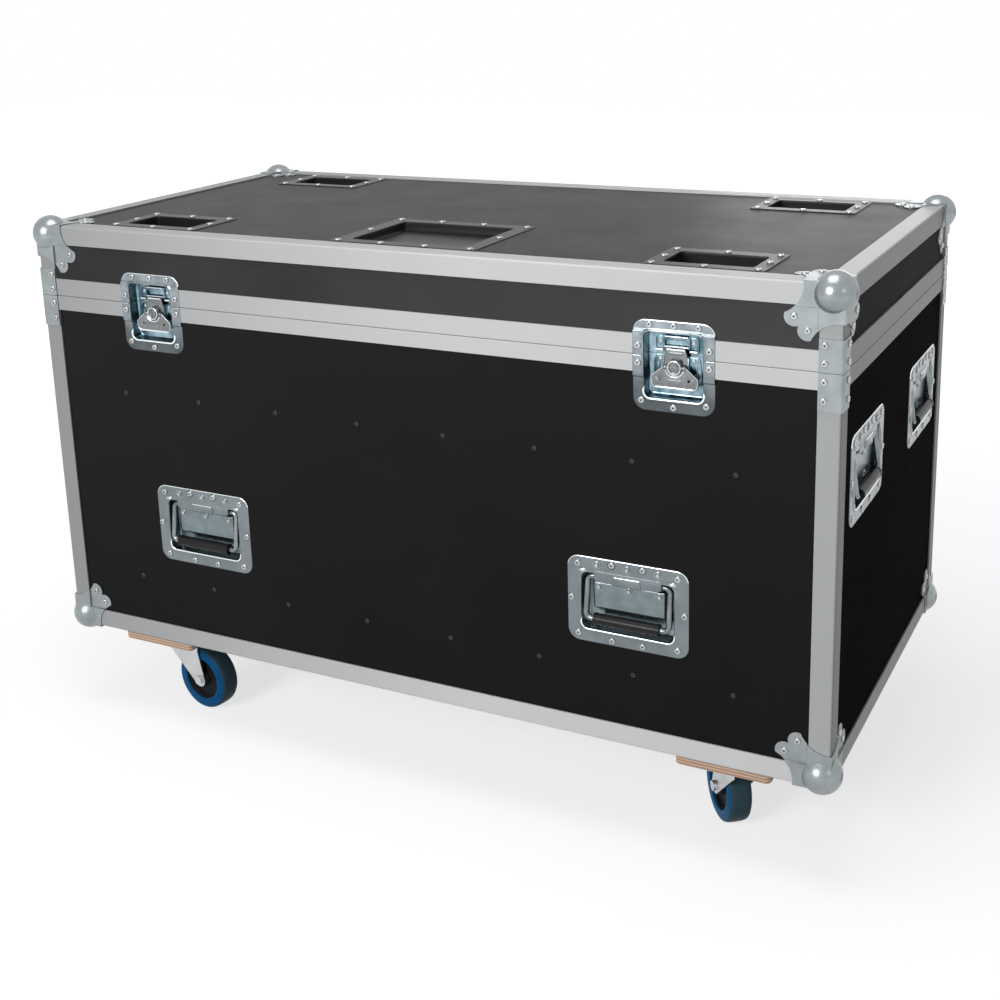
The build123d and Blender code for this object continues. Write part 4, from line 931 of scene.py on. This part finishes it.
def dress_wheels():
    for name, (x, y, turn) in CASTERS.items():
        a = radians(turn)
        centre = Vector((x + TRAIL * cos(a), y + TRAIL * sin(a), WHEEL_RADIUS))
        axle = UP.rotation_difference(Vector((-sin(a), cos(a), 0))).to_matrix().to_4x4()
        place = Matrix.Scale(MM, 4) @ Matrix.Translation(centre) @ axle
        inverse = place.inverted()
        body = "caster_" + name + "_wheel"
        tyre = Shape()
        tyre.lathe(both_ends(TYRE_HALF, TREAD), place, 72, closed=True)
        for face in tyre.mesh.faces:
            spot = inverse @ face.calc_center_median()
            face.material_index = 1 if hypot(spot.x, spot.y) > TREAD_FROM else 0
        tyre.finish("caster_tyre_moulded_" + name, body, [TYRE_SIDE, TYRE_TREAD], "tyre_blue",
                    ["caster_tyre_" + name], angle=50)
        hub = Shape()
        hub.lathe(both_ends(HUB_HALF), place, 64, closed=True)
        hub.finish("caster_hub_moulded_" + name, body, [HUB], "hub_plastic",
                   ["caster_hub_" + name], angle=40)


# Materials on the CAD nodes that stay as they are: by slot, and by name for those that differ
BY_SLOT = {"laminate_black": LAMINATE, "aluminium_profile": ALUMINIUM, "zinc_steel": ZINC,
           "dish_black": DISH_BLACK, "rivet_steel": RIVET, "screw_black": SCREW_BLACK,
           "batten_wood": BIRCH, "pad_plywood": PLYWOOD, "grip_rubber": GRIP, "hub_plastic": HUB,
           "tyre_blue": TYRE_SIDE}
BY_NAME = {"ball_corners": ZINC_CORNER, "corner_braces": ZINC_CORNER, "fork": ZINC_FORK,
           "lid_wall_panels": LAMINATE_LID_LIT, "lid_top_panel": LAMINATE_TOP_LIT,
           "base_end_panels": LAMINATE_END_SHADED, "handle_bail": ZINC_WIRE}


def paint_nodes():
    slots = {part["node"]: part["material_slot"] for part in frame["record"]["subparts"]}
    for node, obj in frame["nodes"].items():
        named = [material for words, material in BY_NAME.items() if words in node]
        obj.data.materials.clear()
        obj.data.materials.append(named[0] if named else BY_SLOT[slots[node]])


# Floor, world and soft studio lamps, the lamps as name, place, aim, size and watts
WORLD_LIGHT = 0.09
FLOOR_HALF = 9
FLOOR_GLOW_NEAR, FLOOR_GLOW_FAR = 0.70, 1.0
GLOW_FROM, GLOW_TO = 0.6, 3.0
LAMPS = (
    ("top_softbox", (0.05, -0.5, 3.1), (0, 0, 0.6), (1.5, 1.6), 28),
    ("front_softbox", (-0.9, -4.1, 2.1), (0, 0, 0.4), (1.7, 1.7), 93),
    ("rear_softbox", (-0.4, 4.2, 0.9), (0, 0, 0.4), (1.4, 1.0), 22),
    ("side_softbox", (3.6, -2.3, 2.0), (0.5, 0, 0.5), (0.5, 0.5), 3),
)


def background_rays(tree):
    path = tree.nodes.new("ShaderNodeLightPath")
    total = path.outputs["Is Camera Ray"]
    for key in ("Is Glossy Ray", "Is Transmission Ray"):
        either = tree.nodes.new("ShaderNodeMath")
        either.operation = "MAXIMUM"
        tree.links.new(total, either.inputs[0])
        tree.links.new(path.outputs[key], either.inputs[1])
        total = either.outputs[0]
    return total


def make_floor():
    shape = bmesh.new()
    signs = ((-1, -1), (1, -1), (1, 1), (-1, 1))
    shape.faces.new([shape.verts.new((x * FLOOR_HALF, y * FLOOR_HALF, 0)) for x, y in signs])
    data = bpy.data.meshes.new("studio_floor")
    shape.to_mesh(data)
    shape.free()
    floor = bpy.data.objects.new("studio_floor", data)
    bpy.context.scene.collection.objects.link(floor)
    paint = Paint("studio_floor", Roughness=0.9, Specular_IOR_Level=0.1)
    soft = paint.even(paint.noise(1.5, 3))
    paint.give("Base Color", paint.blend(soft, (0.50, 0.50, 0.50), (0.52, 0.52, 0.52)))
    away = paint.node("ShaderNodeVectorMath", {0: paint.coords}, operation="LENGTH")
    glow = paint.spread(away.outputs["Value"], GLOW_FROM, GLOW_TO, FLOOR_GLOW_NEAR, FLOOR_GLOW_FAR)
    paint.shader.inputs["Emission Color"].default_value = (1, 1, 1, 1)
    paint.give("Emission Strength", paint.sum(glow, background_rays(paint.tree), "MULTIPLY"))
    data.materials.append(paint.material)


def make_world():
    world = bpy.data.worlds.new("studio")
    world.use_nodes = True
    bpy.context.scene.world = world
    tree = world.node_tree
    tree.nodes.clear()
    mixer = tree.nodes.new("ShaderNodeMixShader")
    out = tree.nodes.new("ShaderNodeOutputWorld")
    tree.links.new(background_rays(tree), mixer.inputs[0])
    for index, strength in ((1, WORLD_LIGHT), (2, 1.0)):
        white = tree.nodes.new("ShaderNodeBackground")
        white.inputs["Color"].default_value = (1, 1, 1, 1)
        white.inputs["Strength"].default_value = strength
        tree.links.new(white.outputs[0], mixer.inputs[index])
    tree.links.new(mixer.outputs[0], out.inputs[0])


def make_lamps():
    for name, spot, target, size, power in LAMPS:
        lamp = bpy.data.lights.new(name, "AREA")
        lamp.shape, lamp.size, lamp.size_y, lamp.energy = "RECTANGLE", *size, power
        made = bpy.data.objects.new(name, lamp)
        made.location = spot
        made.rotation_euler = (Vector(target) - Vector(spot)).to_track_quat("-Z", "Y").to_euler()
        bpy.context.scene.collection.objects.link(made)


make_camera()
paint_nodes()
dress_lid_dishes()
dress_handles()
dress_latches()
dress_corner_step_shade()
dress_rivets()
dress_wheels()
make_floor()
make_world()
make_lamps()
bpy.context.scene.view_settings.view_transform = "Standard"
